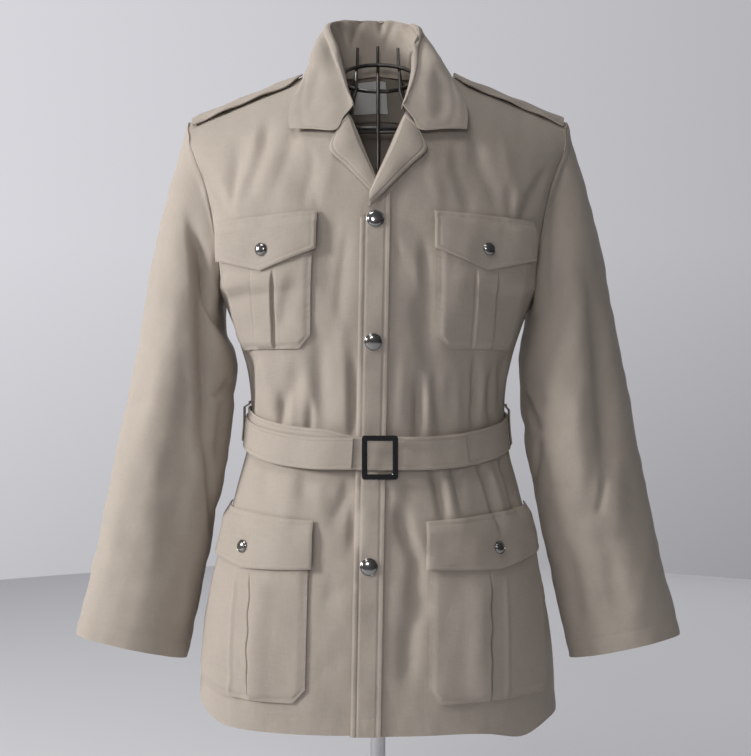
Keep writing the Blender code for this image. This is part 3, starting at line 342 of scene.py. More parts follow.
FRONT_TOP = table(("height", "front", "square", "roll"), (
    (0.889, 0.131, 1.9, -0.0175),
    (0.950, 0.121, 1.6, 0.0090),
    (1.020, 0.085, 1.3, 0.0380),
    (1.058, 0.038, 1.1, 0.0600),
    (1.085, -0.004, 1.0, 0.0760)))

BACK_TOP = table(("height", "back", "square"), (
    (0.900, 0.124, 1.9),
    (0.960, 0.119, 1.6),
    (1.020, 0.106, 1.3),
    (1.060, 0.092, 1.1),
    (1.097, 0.074, 1.0)))

# The armhole's edge, by how far up the row meets the centre, front and back alike
ARMHOLE = table(("share", "side", "deep", "height"), (
    (0.00, 0.1930, 0.000, 0.800),
    (0.05, 0.1925, 0.026, 0.804),
    (0.16, 0.1900, 0.047, 0.822),
    (0.31, 0.1930, 0.058, 0.862),
    (0.53, 0.2060, 0.052, 0.925),
    (0.77, 0.2280, 0.030, 0.982),
    (0.90, 0.2335, 0.014, 1.006),
    (1.00, 0.2360, 0.000, 1.019)))

# Soft folds: side of the jacket, place across at both ends, heights, half width, height of fold
FRONT_FOLDS = table(("side", "top_at", "low_at", "top", "low", "wide", "high"), (
    (-1, 0.60, 0.56, 0.735, 0.648, 0.060, 0.0040),
    (-1, 0.36, 0.30, 0.720, 0.648, 0.050, 0.0030),
    (-1, 0.85, 0.80, 0.760, 0.648, 0.060, -0.0030),
    (1, 0.57, 0.53, 0.735, 0.648, 0.060, 0.0040),
    (1, 0.34, 0.29, 0.720, 0.648, 0.050, 0.0030),
    (1, 0.82, 0.76, 0.770, 0.648, 0.060, -0.0030),
    (-1, 0.40, 0.36, 0.596, 0.520, 0.060, 0.0030),
    (-1, 0.78, 0.82, 0.596, 0.380, 0.080, 0.0035),
    (1, 0.38, 0.36, 0.596, 0.520, 0.060, 0.0030),
    (1, 0.80, 0.84, 0.596, 0.380, 0.080, 0.0035)))

BACK_FOLDS = table(("side", "top_at", "low_at", "top", "low", "wide", "high"), (
    (-1, 0.25, 0.18, 0.760, 0.676, 0.070, 0.0040),
    (-1, 0.55, 0.50, 0.730, 0.676, 0.070, 0.0035),
    (1, 0.22, 0.16, 0.745, 0.676, 0.070, 0.0035),
    (1, 0.58, 0.52, 0.765, 0.676, 0.070, 0.0040),
    (-1, 0.30, 0.34, 0.615, 0.400, 0.090, 0.0050),
    (-1, 0.70, 0.74, 0.612, 0.360, 0.080, 0.0045),
    (1, 0.33, 0.38, 0.615, 0.380, 0.090, 0.0045),
    (1, 0.72, 0.76, 0.612, 0.420, 0.080, 0.0050)))

# Creases seen in the photo, in its pixels: both ends, how far the line bows out, half width, height in
# metres (below 0 is a trough), and how much steeper one flank is.
RIDGE, TROUGH = 0.65, 1.12
CREASE = ("x0", "y0", "x1", "y1", "bow", "wide", "high", "skew")
FRONT_CREASES = table(CREASE, (
    (270, 116, 238, 206, 4, 5.0, -0.0016, 0.2),
    (260, 118, 230, 202, 4, 4.0, 0.0014, 0.0),
    (240, 148, 232, 210, -3, 4.0, -0.0013, 0.0),
    (298, 106, 262, 208, 5, 6.0, -0.0013, 0.2),
    (314, 148, 298, 208, 3, 5.0, -0.0015, 0.2),
    (334, 146, 316, 206, 3, 4.5, 0.0012, 0.0),
    (196, 168, 225, 210, 3, 4.0, -0.0018, 0.2),
    (203, 194, 238, 214, 2, 3.5, -0.0014, 0.0),
    (350, 215, 338, 335, -3, 6.0, -0.0012, 0.2),
    (468, 124, 506, 214, -4, 5.0, -0.0016, 0.2),
    (450, 142, 474, 216, -3, 5.0, -0.0013, 0.2),
    (428, 146, 446, 214, -3, 5.0, 0.0012, 0.0),
    (550, 168, 520, 218, -3, 4.0, -0.0018, 0.2),
    (546, 196, 514, 222, -2, 3.5, -0.0014, 0.0),
    (500, 126, 522, 202, -3, 4.5, 0.0012, 0.0),
    (420, 230, 428, 350, 3, 6.0, -0.0012, 0.2),
    (300, 362, 274, 420, 3, 8.0, -0.0022, 0.2),
    (318, 322, 322, 440, 0, 9.0, -0.0020, 0.0),
    (339, 300, 345, 440, 2, 7.0, 0.0014, 0.0),
    (352, 350, 352, 446, 0, 5.0, -0.0022, 0.3),
    (281, 395, 279, 440, 0, 3.5, -0.0024, 0.3),
    (291, 385, 292, 444, 0, 4.0, 0.0016, 0.0),
    (309, 398, 309, 446, 0, 4.0, -0.0022, 0.0),
    (262, 352, 256, 428, 0, 4.0, 0.0016, 0.3),
    (250, 340, 250, 425, 0, 3.5, -0.0022, 0.0),
    (335, 200, 331, 318, -3, 12.0, -0.0016, 0.0),
    (203, 204, 236, 216, -3, 5.0, -0.0020, 0.0),
    (212, 190, 262, 205, -4, 8.0, 0.0014, 0.0),
    (240, 130, 225, 205, 6, 12.0, -0.0014, 0.0),
    (298, 140, 290, 205, 4, 14.0, -0.0012, 0.0),
    (297, 268, 284, 335, -3, 8.0, -0.0012, 0.2),
    (314, 205, 318, 190, 0, 3.0, -0.0010, 0.0),
    (391, 236, 403, 264, 0, 2.5, -0.0010, 0.3),
    (427, 246, 421, 275, 0, 3.0, -0.0012, 0.3),
    (416, 262, 417, 285, 0, 3.0, 0.0008, 0.0),
    (418, 290, 437, 382, -4, 9.0, -0.0022, 0.2),
    (432, 370, 441, 436, 0, 5.0, -0.0024, 0.3),
    (417, 372, 416, 440, 0, 5.0, -0.0030, 0.3),
    (427, 382, 428, 440, 0, 4.5, 0.0020, 0.0),
    (402, 330, 401, 440, 0, 7.0, 0.0012, 0.0),
    (473, 352, 471, 432, 2, 4.0, -0.0034, 0.4),
    (457, 366, 456, 432, 0, 6.0, 0.0022, 0.0),
    (482, 362, 481, 428, 0, 3.5, 0.0020, 0.0),
    (490, 372, 491, 424, 0, 3.2, -0.0032, 0.3),
    (499, 350, 501, 420, 2, 4.0, -0.0022, 0.2),
    (505, 190, 511, 218, 2, 4.0, -0.0016, 0.0),
    (520, 180, 500, 226, 5, 8.0, 0.0014, 0.0),
    (470, 140, 486, 214, -4, 14.0, -0.0012, 0.0),
    (429, 462, 443, 524, 2, 5.0, -0.0028, 0.3),
    (438, 462, 454, 520, 2, 5.5, 0.0018, 0.0),
    (449, 460, 463, 518, 2, 5.0, -0.0026, 0.2),
    (474, 454, 499, 540, 3, 4.0, -0.0038, 0.5),
    (483, 456, 504, 520, 2, 4.0, 0.0024, 0.0),
    (497, 448, 518, 520, 2, 4.0, -0.0036, 0.3),
    (398, 505, 416, 556, -4, 7.0, -0.0034, 0.3),
    (416, 540, 408, 625, 3, 8.0, -0.0026, 0.2),
    (411, 526, 426, 556, 0, 4.0, 0.0016, 0.0),
    (426, 590, 402, 640, 4, 6.0, -0.0018, 0.2),
    (408, 612, 404, 690, 2, 9.0, -0.0022, 0.0),
    (392, 470, 398, 520, 0, 8.0, 0.0014, 0.0),
    (384, 690, 440, 686, 2, 3.0, -0.0010, 0.0),
    (400, 712, 470, 708, 3, 4.0, 0.0009, 0.0),
    (350, 478, 327, 525, 4, 8.0, -0.0024, 0.2),
    (353, 500, 352, 556, 0, 6.0, -0.0022, 0.2),
    (318, 478, 322, 512, 0, 6.0, 0.0012, 0.0),
    (300, 470, 305, 500, 0, 6.0, -0.0014, 0.0),
    (262, 462, 268, 500, 0, 6.0, -0.0014, 0.0),
    (320, 602, 358, 584, 3, 6.0, -0.0012, 0.0),
    (314, 674, 344, 660, 2, 5.0, -0.0012, 0.0),
    (340, 560, 348, 640, 3, 12.0, 0.0012, 0.0),
    (210, 660, 250, 705, 4, 8.0, -0.0016, 0.0)))
BACK_CREASES = table(CREASE, (
    (300, 350, 292, 432, 3, 6.0, -0.0028, 0.3),
    (316, 340, 318, 436, 2, 8.0, 0.0022, 0.0),
    (338, 362, 340, 436, 0, 5.0, -0.0026, 0.2),
    (366, 350, 362, 436, 2, 7.0, -0.0022, 0.0),
    (384, 370, 386, 436, 0, 6.0, 0.0020, 0.0),
    (404, 356, 410, 436, 2, 6.0, -0.0030, 0.3),
    (438, 346, 446, 434, 3, 7.0, -0.0026, 0.2),
    (458, 364, 460, 430, 0, 5.0, 0.0020, 0.0),
    (478, 352, 482, 428, 2, 5.0, -0.0028, 0.3),
    (270, 362, 268, 428, 2, 5.0, -0.0026, 0.2),
    (290, 458, 276, 560, 4, 7.0, -0.0030, 0.2),
    (322, 458, 316, 540, 3, 7.0, -0.0026, 0.0),
    (350, 458, 348, 600, 3, 10.0, 0.0026, 0.0),
    (382, 458, 386, 560, 2, 7.0, -0.0028, 0.2),
    (414, 458, 424, 640, 4, 9.0, -0.0028, 0.2),
    (444, 458, 462, 560, 3, 7.0, 0.0022, 0.0),
    (474, 458, 494, 600, 4, 7.0, -0.0030, 0.3),
    (260, 200, 310, 250, 8, 14.0, -0.0022, 0.0),
    (500, 196, 440, 262, 8, 14.0, -0.0022, 0.0),
    (372, 120, 360, 260, 6, 18.0, 0.0016, 0.0),
    (250, 270, 330, 300, 6, 12.0, 0.0016, 0.0),
    (330, 620, 420, 632, 5, 8.0, -0.0010, 0.0)))


def smooth(at, xs, ys):
    """Cubic curve through the table's points, its slope at each from the two next to it."""
    at = np.clip(at, xs[0], xs[-1])
    slope = np.gradient(ys, xs)
    cell = np.clip(np.searchsorted(xs, at, side="right") - 1, 0, len(xs) - 2)
    step = xs[cell + 1] - xs[cell]
    t = (at - xs[cell]) / step
    start = (1 + 2 * t) * (1 - t) ** 2 * ys[cell] + t * (1 - t) ** 2 * step * slope[cell]
    end = t * t * (3 - 2 * t) * ys[cell + 1] + t * t * (t - 1) * step * slope[cell + 1]
    return start + end


def ease(value, low, high):
    """0 below low, 1 above high, with a soft step between."""
    t = np.clip((value - low) / (high - low), 0.0, 1.0)
    return t * t * (3 - 2 * t)


def paired(first, second):
    """Both as arrays of numbers of one shape."""
    return np.broadcast_arrays(np.asarray(first, float), np.asarray(second, float))


def fold_height(folds, side, across, height, top_fade=0.4):
    """Sum of the soft ridges and troughs: a bell across each fold, eased out at its two ends."""
    total = np.zeros(np.broadcast(across, height).shape)
    for row in range(len(folds["side"])):
        if folds["side"][row] != side:
            continue
        top, low = folds["top"][row], folds["low"][row]
        share = (height - low) / (top - low)
        middle = folds["low_at"][row] + (folds["top_at"][row] - folds["low_at"][row]) * share
        shape = bell(across - middle, folds["wide"][row])
        total += folds["high"][row] * shape * ease(share, 0.0, 0.3) * ease(1 - share, 0.0, top_fade)
    return total


def centre_line(height):
    """Where the button line hangs: a little to the wearer's right, more so towards the hem."""
    fall = np.clip((BREAK - height) / (BREAK - HEM), 0.0, 1.0)
    rise = np.clip((FRONT_NECK - height) / (FRONT_NECK - BREAK), 0.0, 1.0)
    return -0.003 * rise - 0.011 * fall


def armhole_edge(height, top, facing):
    """Side edge of a row: the side seam up to the underarm, then the armhole's edge."""
    share = (np.maximum(height, UNDERARM) - UNDERARM) / (top - UNDERARM)
    upper_x = smooth(share, ARMHOLE["share"], ARMHOLE["side"])
    upper_y = smooth(share, ARMHOLE["share"], ARMHOLE["deep"]) * facing
    upper_z = smooth(share, ARMHOLE["share"], ARMHOLE["height"])
    below = height <= UNDERARM
    lower_x = smooth(height, BODY["height"], BODY["side"])
    edge_x = np.where(below, lower_x, upper_x)
    return edge_x, np.where(below, 0.0, upper_y), np.where(below, height, upper_z)


def whole_column(height, upper, name):
    """One smooth column from the hem to the neck: the body's rows, then those above it."""
    heights = np.concatenate([BODY["height"], upper["height"]])
    return smooth(height, heights, np.concatenate([BODY[name], upper[name]]))


def quarter(start, end, square, across):
    """Quarter of a rounded rectangle in plan, from a centre point to a side point."""
    angle = across * math.pi / 2
    run = np.sin(angle) ** (2 / square)
    turn = 1 - np.cos(angle) ** (2 / square)
    return (start[0] + (end[0] - start[0]) * run, start[1] + (end[1] - start[1]) * turn,
            start[2] + (end[2] - start[2]) * run, run)


def front(side, across, height, centred=False):
    """Outer face of one front, from its front edge or the button line to the side."""
    across, height = paired(across, height)
    depth = whole_column(height, FRONT_TOP, "front")
    square = whole_column(height, FRONT_TOP, "square")
    roll = np.where(height > BREAK, smooth(height, FRONT_TOP["height"], FRONT_TOP["roll"]), -LAP)
    edge = side * centre_line(height) + (0.0 if centred else roll)
    end = armhole_edge(height, FRONT_NECK, -1.0)
    x, y, z, _ = quarter((edge, -depth, height), end, square, across)
    bulge = fold_height(FRONT_FOLDS, side, across, height)
    if side > 0:
        low = 1 - ease(height, HEM, HEM + 0.16)
        z = z - low * bell(across - 0.52, 0.13, 0.011)
    away = unit(np.stack([x / end[0], y / np.maximum(depth, 0.03)], axis=-1))
    under = 0.0 if side > 0 or centred else LAY + WALL
    lapped = (under * (1 - ease(across, 0.24, 0.42)) + under * 0.5 * (1 - ease(across, 0.0, 0.22)))
    lapped = lapped * (1 - ease(height, 0.94, 0.98))
    bulge = bulge - lapped
    return np.stack([side * (x + away[..., 0] * bulge), y + away[..., 1] * bulge, z], axis=-1)


def back(side, across, height):
    """Outer face of half the back, from the centre back to the side."""
    across, height = paired(across, height)
    depth = whole_column(height, BACK_TOP, "back")
    square = whole_column(height, BACK_TOP, "square")
    end = armhole_edge(height, BACK_NECK, 1.0)
    x, y, z, run = quarter((0.0, depth, height), end, square, across)
    neck_run = 0.376
    base = np.array([SHOULDER_TIP[0] * neck_run, BACK_TOP["back"][-1] * (1 - neck_run),
                     BACK_NECK + (SHOULDER_TIP[2] - BACK_NECK) * neck_run])
    shift = np.array(NECK_SIDE) - base
    peak = np.where(run < neck_run, run / neck_run, (1 - run) / (1 - neck_run))
    curve = np.where(run < neck_run, np.sin(math.pi * np.clip(run / neck_run, 0, 1)), 0.0)
    rise = ease(height, 0.97, BACK_NECK)
    x = x + rise * (peak * shift[0] + curve * 0.012)
    y = y + rise * (peak * shift[1] + curve * 0.0223)
    z = z + rise * peak * shift[2]
    bulge = fold_height(BACK_FOLDS, side, across, height)
    away = unit(np.stack([x / end[0], y / depth], axis=-1))
    return np.stack([side * (x + away[..., 0] * bulge), y + away[..., 1] * bulge, z], axis=-1)


def normals(surface, across, height, low=(0.0, HEM), high=(1.0, 2.0)):
    """Outward normals of a surface, from points a small step to each side."""
    step = 2e-3
    a0, a1 = np.maximum(across - step, low[0]), np.minimum(across + step, high[0])
    h0, h1 = np.maximum(height - step, low[1]), np.minimum(height + step, high[1])
    along = surface(a1, height) - surface(a0, height)
    up = surface(across, h1) - surface(across, h0)
    return unit(np.cross(along, up))


def front_normals(side, across, height):
    """Normals of a front, pointing away from the wearer."""
    across, height = paired(across, height)
    out = normals(lambda a, h: front(side, a, h), across, height, high=(1.0, FRONT_NECK))
    return out * side


def back_normals(side, across, height):
    """Normals of half the back, pointing away from the wearer."""
    across, height = paired(across, height)
    out = normals(lambda a, h: back(side, a, h), across, height, high=(1.0, BACK_NECK))
    return -out * side


def picture(points):
    """Where the camera sees points: x = 378 + f X / (1.33 + Y), y = 378 - f (Z - 0.70) / (1.33 + Y)."""
    reach = LENS / SENSOR * PICTURE / (points[..., 1] - CAMERA[1])
    return np.stack([MIDDLE + reach * points[..., 0], MIDDLE - reach * (points[..., 2] - CAMERA[2])], -1)


def creases(rows, seen):
    """Sum of high * exp(-(off / wide)^2) for bowed lines, eased in and out over a quarter of each."""
    total = np.zeros(seen.shape[:-1])
    for x0, y0, x1, y1, bow, wide, high, skew in zip(*(rows[name] for name in CREASE)):
        length = math.hypot(x1 - x0, y1 - y0)
        along = ((seen[..., 0] - x0) * (x1 - x0) + (seen[..., 1] - y0) * (y1 - y0)) / length ** 2
        off = ((seen[..., 0] - x0) * (y1 - y0) - (seen[..., 1] - y0) * (x1 - x0)) / length
        off = off - bow * 4 * along * (1 - along)
        flank = wide * (1 + skew * np.sign(off))
        shape = bell(off, flank, high) * (RIDGE if high > 0 else TROUGH)
        total += shape * ease(along, 0, 0.28) * ease(1 - along, 0, 0.28)
    return total


def unevenness(points, high=0.0005):
    """Slight waves of plain cloth: three products of sines with unlike lengths, 40 to 110 mm."""
    x, y, z = points[..., 0], points[..., 1], points[..., 2]
    waves = np.sin(87 * x + 31 * z + 1.0) * np.sin(61 * z - 23 * y + 0.4)
    waves = waves + 0.7 * np.sin(121 * z + 47 * x + 2.1) * np.sin(73 * x - 58 * z + 0.9)
    return high * (waves + 0.5 * np.sin(143 * x + 95 * z + 40 * y) * np.sin(160 * z - 80 * x + 0.5))


def soften(grid, passes, held=0.0):
    """Each row a quarter of both neighbours and half itself, a number of times; held columns stay."""
    share = np.ones((1, grid.shape[1], 1))
    if held:
        share[0, :, 0] = ease(np.linspace(1, 0, grid.shape[1]), 0.0, held)
    for _ in range(passes):
        mean = (grid[:-2] + 2 * grid[1:-1] + grid[2:]) / 4
        grid[1:-1] += (mean - grid[1:-1]) * share
    return grid


def raised_side(side, across, height):
    """The hem rides up at the wearer's right side seam: 0.020 m there, running out 0.12 m higher."""
    return (0.020 if side < 0 else 0.0) * ease(across, 0.5, 1.0) * (1 - ease(height, HEM, HEM + 0.12))


def front_cloth(side, across, height):
    """Front's points and normals with its creases, which run out at the side seam and armhole."""
    base, out = front(side, across, height), front_normals(side, across, height)
    bulge = 2.1 * creases(FRONT_CREASES, picture(base)) + unevenness(base)
    across = np.broadcast_to(across, bulge.shape)
    height = np.broadcast_to(height, bulge.shape)
    bulge = bulge * (1 - ease(across, 0.95, 1.0)) * (1 - ease(height, 1.06, FRONT_NECK))
    hem = bell(height - HEM - HEM_SEAM, 0.0016, 0.0005)
    pucker = 0.00016 * np.sin(across * 230 + 3 * np.sin(across * 41))
    pucker = pucker * bell(height - HEM - 0.014, 0.012)
    base = base + out * (bulge - hem + pucker)[..., None]
    base[..., 2] += raised_side(side, across, height)
    return base, out


def back_cloth(side, across, height):
    """Half the back's points and normals, its creases placed as if seen from behind."""
    base, out = back(side, across, height), back_normals(side, across, height)
    behind = base * [-1.0, 0.0, 1.0] + [0.0, -0.13, 0.0]
    bulge = 1.8 * creases(BACK_CREASES, picture(behind)) + unevenness(base)
    across = np.broadcast_to(across, bulge.shape)
    height = np.broadcast_to(height, bulge.shape)
    bulge = bulge * (1 - ease(across, 0.95, 1.0)) * (1 - ease(height, 1.05, BACK_NECK))
    hem = bell(height - HEM - HEM_SEAM, 0.0016, 0.0005)
    base = base + out * (bulge - hem)[..., None]
    base[..., 2] += raised_side(side, across, height)
    return base, out


def joined(halves):
    """Points and normals of the right and the left half as one grid, joined at the centre back."""
    return (np.concatenate([halves[-1][k][:, :0:-1], halves[1][k]], axis=1) for k in (0, 1))


across = np.linspace(0, 1, 91)[None, :]
FINE_ROWS = np.concatenate([np.linspace(HEM, HEM + 0.030, 15, endpoint=False),
                            np.linspace(HEM + 0.030, UNDERARM, 125, endpoint=False),
                            np.linspace(UNDERARM, 1.0, 52, endpoint=False)])
hem_row = nearest(FINE_ROWS, HEM + HEM_SEAM)
stitch_lines = []
for side in SIDES:
    name = SIDES[side] + "front"
    rows = np.concatenate([FINE_ROWS, np.linspace(1.0, FRONT_NECK - SEAM_GAP, 27)])[:, None]
    grid, out = front_cloth(side, across, rows)
    grid = soften(grid, 9, 0.1)
    grid[:, -1] += unit(grid[:, -2] - grid[:, -1]) * SEAM_GAP / 2
    piece = shell(name + "_cloth", grid, out, WALL)
    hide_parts(name)
    stitch_lines += parallel(grid, out, rows=[hem_row])
rows = np.concatenate([FINE_ROWS, np.linspace(1.0, BACK_NECK - SEAM_GAP, 29)])[:, None]
halves = {}
for side in SIDES:
    grid, out = back_cloth(side, np.linspace(0, 1, 71)[None, :], rows)
    grid = soften(grid, 8, 0.1)
    grid[:, -1] += unit(grid[:, -2] - grid[:, -1]) * SEAM_GAP / 2
    halves[side] = (grid, out)
grid, out = joined(halves)
piece = shell("back_cloth", grid, out, WALL)
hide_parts("back")
stitch_lines += parallel(grid, out, rows=[hem_row])
stitches("hem_stitching", stitch_lines)


# The sleeves: a tube each, eased into the armhole, hanging clear of the body with long soft folds and a
# plain hem stitched 22 mm up.
# Sleeve: outer and inner line seen from the front, half depth and how far forward
SLEEVE = table(("along", "out_x", "out_z", "in_x", "in_z", "deep", "forward"), (
    (0.00, 0.236, 1.019, 0.1930, 0.800, 0.060, 0.000),
    (0.15, 0.259, 0.935, 0.1855, 0.757, 0.070, 0.000),
    (0.27, 0.276, 0.862, 0.1755, 0.715, 0.073, 0.000),
    (0.37, 0.289, 0.795, 0.1770, 0.680, 0.072, 0.000),
    (0.50, 0.304, 0.715, 0.1810, 0.625, 0.068, 0.002),
    (0.65, 0.324, 0.608, 0.1935, 0.553, 0.063, 0.007),
    (0.80, 0.344, 0.500, 0.2100, 0.473, 0.058, 0.013),
    (1.00, 0.369, 0.387, 0.2340, 0.357, 0.056, 0.022)))

# Sleeve folds: side, angle round the sleeve at both ends, share along, half width, height
SLEEVE_FOLDS = table(("side", "top_at", "low_at", "top", "low", "wide", "high"), (
    (-1, 1.60, 2.30, 0.30, 0.90, 0.30, -0.0060),
    (-1, 0.90, 1.30, 0.22, 0.70, 0.35, 0.0035),
    (-1, 4.40, 4.00, 0.30, 0.85, 0.35, -0.0045),
    (1, 0.95, 1.35, 0.30, 0.72, 0.30, -0.0055),
    (1, 1.80, 2.20, 0.25, 0.80, 0.35, 0.0035),
    (1, 4.50, 4.10, 0.28, 0.80, 0.35, -0.0045)))
SLEEVE_CREASES = table(CREASE, (
    (197, 205, 204, 470, 2, 10.0, -0.0076, 0.35),
    (203, 430, 214, 560, 3, 5.0, -0.0034, 0.3),
    (187, 200, 244, 362, -12, 6.0, -0.0042, 0.3),
    (180, 215, 178, 420, -4, 11.0, 0.0026, 0.0),
    (214, 270, 232, 384, -4, 8.0, 0.0024, 0.0),
    (150, 300, 130, 440, 4, 12.0, -0.0020, 0.0),
    (168, 440, 160, 590, 3, 12.0, -0.0016, 0.0),
    (120, 470, 104, 600, 2, 9.0, 0.0014, 0.0),
    (232, 376, 214, 400, 2, 3.5, -0.0024, 0.0),
    (224, 392, 216, 470, 2, 5.0, -0.0022, 0.2),
    (190, 560, 184, 640, 0, 6.0, 0.0012, 0.0),
    (192, 132, 204, 200, 4, 6.0, -0.0022, 0.2),
    (583, 236, 607, 505, 4, 9.0, -0.0028, 0.2),
    (566, 215, 584, 470, 3, 11.0, 0.0020, 0.0),
    (530, 272, 512, 352, -2, 5.0, -0.0026, 0.2),
    (604, 470, 596, 520, 2, 4.0, -0.0016, 0.2),
    (512, 366, 541, 436, -2, 4.0, -0.0040, 0.4),
    (520, 372, 546, 430, 0, 4.0, 0.0024, 0.0),
    (540, 432, 535, 512, -3, 3.5, -0.0028, 0.3),
    (562, 170, 556, 330, -6, 9.0, -0.0032, 0.2),
    (556, 200, 530, 360, -8, 8.0, 0.0026, 0.0),
    (582, 200, 588, 360, 3, 12.0, 0.0022, 0.0),
    (570, 380, 584, 520, 2, 9.0, 0.0020, 0.0),
    (622, 420, 640, 560, 3, 12.0, -0.0018, 0.0),
    (600, 520, 622, 630, 2, 10.0, -0.0016, 0.0),
    (566, 540, 580, 640, 2, 8.0, -0.0018, 0.2),
    (556, 130, 560, 190, 2, 5.0, -0.0022, 0.2)))


def armhole_height(angle, top):
    """Row height whose side edge is at this angle round the armhole, 0 at the shoulder tip."""
    low, high = ARMHOLE["height"][0], ARMHOLE["height"][-1]
    wanted = (low + high) / 2 + (high - low) / 2 * np.cos(angle)
    share = np.linspace(0, 1, 400)
    reached = smooth(share, ARMHOLE["share"], ARMHOLE["height"])
    return UNDERARM + (top - UNDERARM) * np.interp(wanted, reached, share)


def sleeve(side, angle, along):
    """Outer face of a sleeve: rings from the armhole's loop to the cuff's rounded oval."""
    angle, along = paired(angle, along)
    value = {name: smooth(along, SLEEVE["along"], SLEEVE[name]) for name in SLEEVE}
    start = {name: SLEEVE[name][0] for name in SLEEVE}

    def ring(row):
        """Oval through the outer and inner line."""
        reach_x = (row["out_x"] - row["in_x"]) / 2
        reach_z = (row["out_z"] - row["in_z"]) / 2
        return np.stack(np.broadcast_arrays(
            (row["out_x"] + row["in_x"]) / 2 + reach_x * np.cos(angle),
            -row["forward"] - row["deep"] * np.sin(angle),
            (row["out_z"] + row["in_z"]) / 2 + reach_z * np.cos(angle)), axis=-1)

    facing_front = np.sin(angle) >= 0
    turn = np.where(angle <= math.pi, angle, 2 * math.pi - angle)
    ahead = front(1, np.ones_like(turn), armhole_height(turn, FRONT_NECK))
    behind = back(1, np.ones_like(turn), armhole_height(turn, BACK_NECK))
    loop = np.where(facing_front[..., None], ahead, behind)
    points = ring(value) + (loop - ring(start)) * (1 - ease(along, 0.0, 0.32))[..., None]
    bulge = fold_height(SLEEVE_FOLDS, side, angle, along, top_fade=0.3)
    away = np.stack([np.cos(angle), -np.sin(angle), 0 * angle], axis=-1)
    points = points + away * bulge[..., None]
    points[..., 0] += SEAM_GAP + 0.0001 + 0.0012 * ease(-np.cos(angle), 0.5, 0.9)
    return points * np.array([side, 1.0, 1.0])


CUFF_SEAM = 0.966
stitch_lines = []
angle = np.linspace(0, 2 * math.pi, 121)[:-1][None, :]
along = np.concatenate([np.linspace(0, 0.94, 122, endpoint=False), np.linspace(0.94, 1, 18)])[:, None]
for side in SIDES:
    name = SIDES[side] + "sleeve"
    base = sleeve(side, angle, along)
    base[..., 2] += 0.010 * ease(along, 0.6, 1.0) * np.sin(angle)
    out = facing(base, base - base.mean(axis=1, keepdims=True), ring=True)
    toward = ease(np.sin(angle), -0.25, 0.15) + 0 * along
    behind = base * [1.0, -1.0, 1.0]
    seen = creases(SLEEVE_CREASES, picture(base))
    hidden = creases(SLEEVE_CREASES, picture(behind) + [6.0 * side, -14.0]) * 0.8
    bulge = 1.6 * (seen * toward + hidden * (1 - toward)) + unevenness(base, 0.0007)
    bulge = bulge * ease(along, 0.0, 0.05)
    bulge = bulge + bell(along - 0.012, 0.010, 0.0012)
    bulge = bulge - bell(along - CUFF_SEAM, 0.0025, 0.0005)
    grid = base + out * bulge[..., None]
    piece = shell(name + "_cloth", grid, out, WALL, ring=True)
    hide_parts(name)
    stitch_lines += parallel(grid, out, rows=[nearest(along[:, 0], CUFF_SEAM)], ring=True)
stitches("cuff_stitching", stitch_lines)


# What is sewn on the fronts: the placket, four patch pockets with their flaps. Each is made from the
# front's own points, at a distance from the button line and a height, and moved out.
# Patch pockets: inner edge, width, flap's top at the inner and outer edge, foot, flap's depth
POCKETS = table(("chest", "inner", "wide", "top_in", "top_out", "foot", "flap", "point"), (
    (1, 0.0700, 0.122, 0.890, 0.882, 0.734, 0.044, 0.020),
    (0, 0.0670, 0.172, 0.537, 0.548, 0.334, 0.054, 0.010)))
shares = np.linspace(0, 1, 121)
table_rows = np.linspace(HEM, 1.08, 131)
distances = np.linspace(-0.03, 0.37, 260)
PLACES = {}
for side in SIDES:
    points = front(side, shares[None, :], table_rows[:, None])
    lengths = np.linalg.norm(np.diff(points, axis=1), axis=2).cumsum(axis=1)
    lengths = np.concatenate([np.zeros((len(table_rows), 1)), lengths], axis=1)
    lengths += (side * points[:, 0, 0] - side * centre_line(table_rows))[:, None]
    PLACES[side] = np.stack([np.interp(distances, row, shares) for row in lengths])


def cell_of(value, even):
    """Where a value lies among even steps, as an index with its fraction."""
    return np.clip((value - even[0]) / (even[-1] - even[0]) * (len(even) - 1), 0, len(even) - 1.001)


def front_find(side, distance, z):
    """Points and normals of the creased front at distances from the button line and heights.

    The share across comes from the table of arc lengths, and the row moves until its z is right.
    """
    distance, z = np.broadcast_arrays(distance, z)
    height = np.array(z, float)
    places = PLACES[side]
    column = cell_of(distance, distances)
    left = column.astype(int)
    for _ in range(9):
        row = cell_of(height, table_rows)
        low = row.astype(int)
        a = places[low, left] * (1 - column + left) + places[low, left + 1] * (column - left)
        b = places[low + 1, left] * (1 - column + left) + places[low + 1, left + 1] * (column - left)
        across = a + (b - a) * (row - low)
        height = np.clip(height + z - front(side, across, height)[..., 2], HEM, FRONT_NECK)
    return front_cloth(side, across, height)


def stepped(edges, counts):
    """Positions with even steps between given edges."""
    parts = [np.linspace(a, b, n, endpoint=False) for a, b, n in zip(edges, edges[1:], counts)]
    return np.concatenate(parts + [[edges[-1]]])


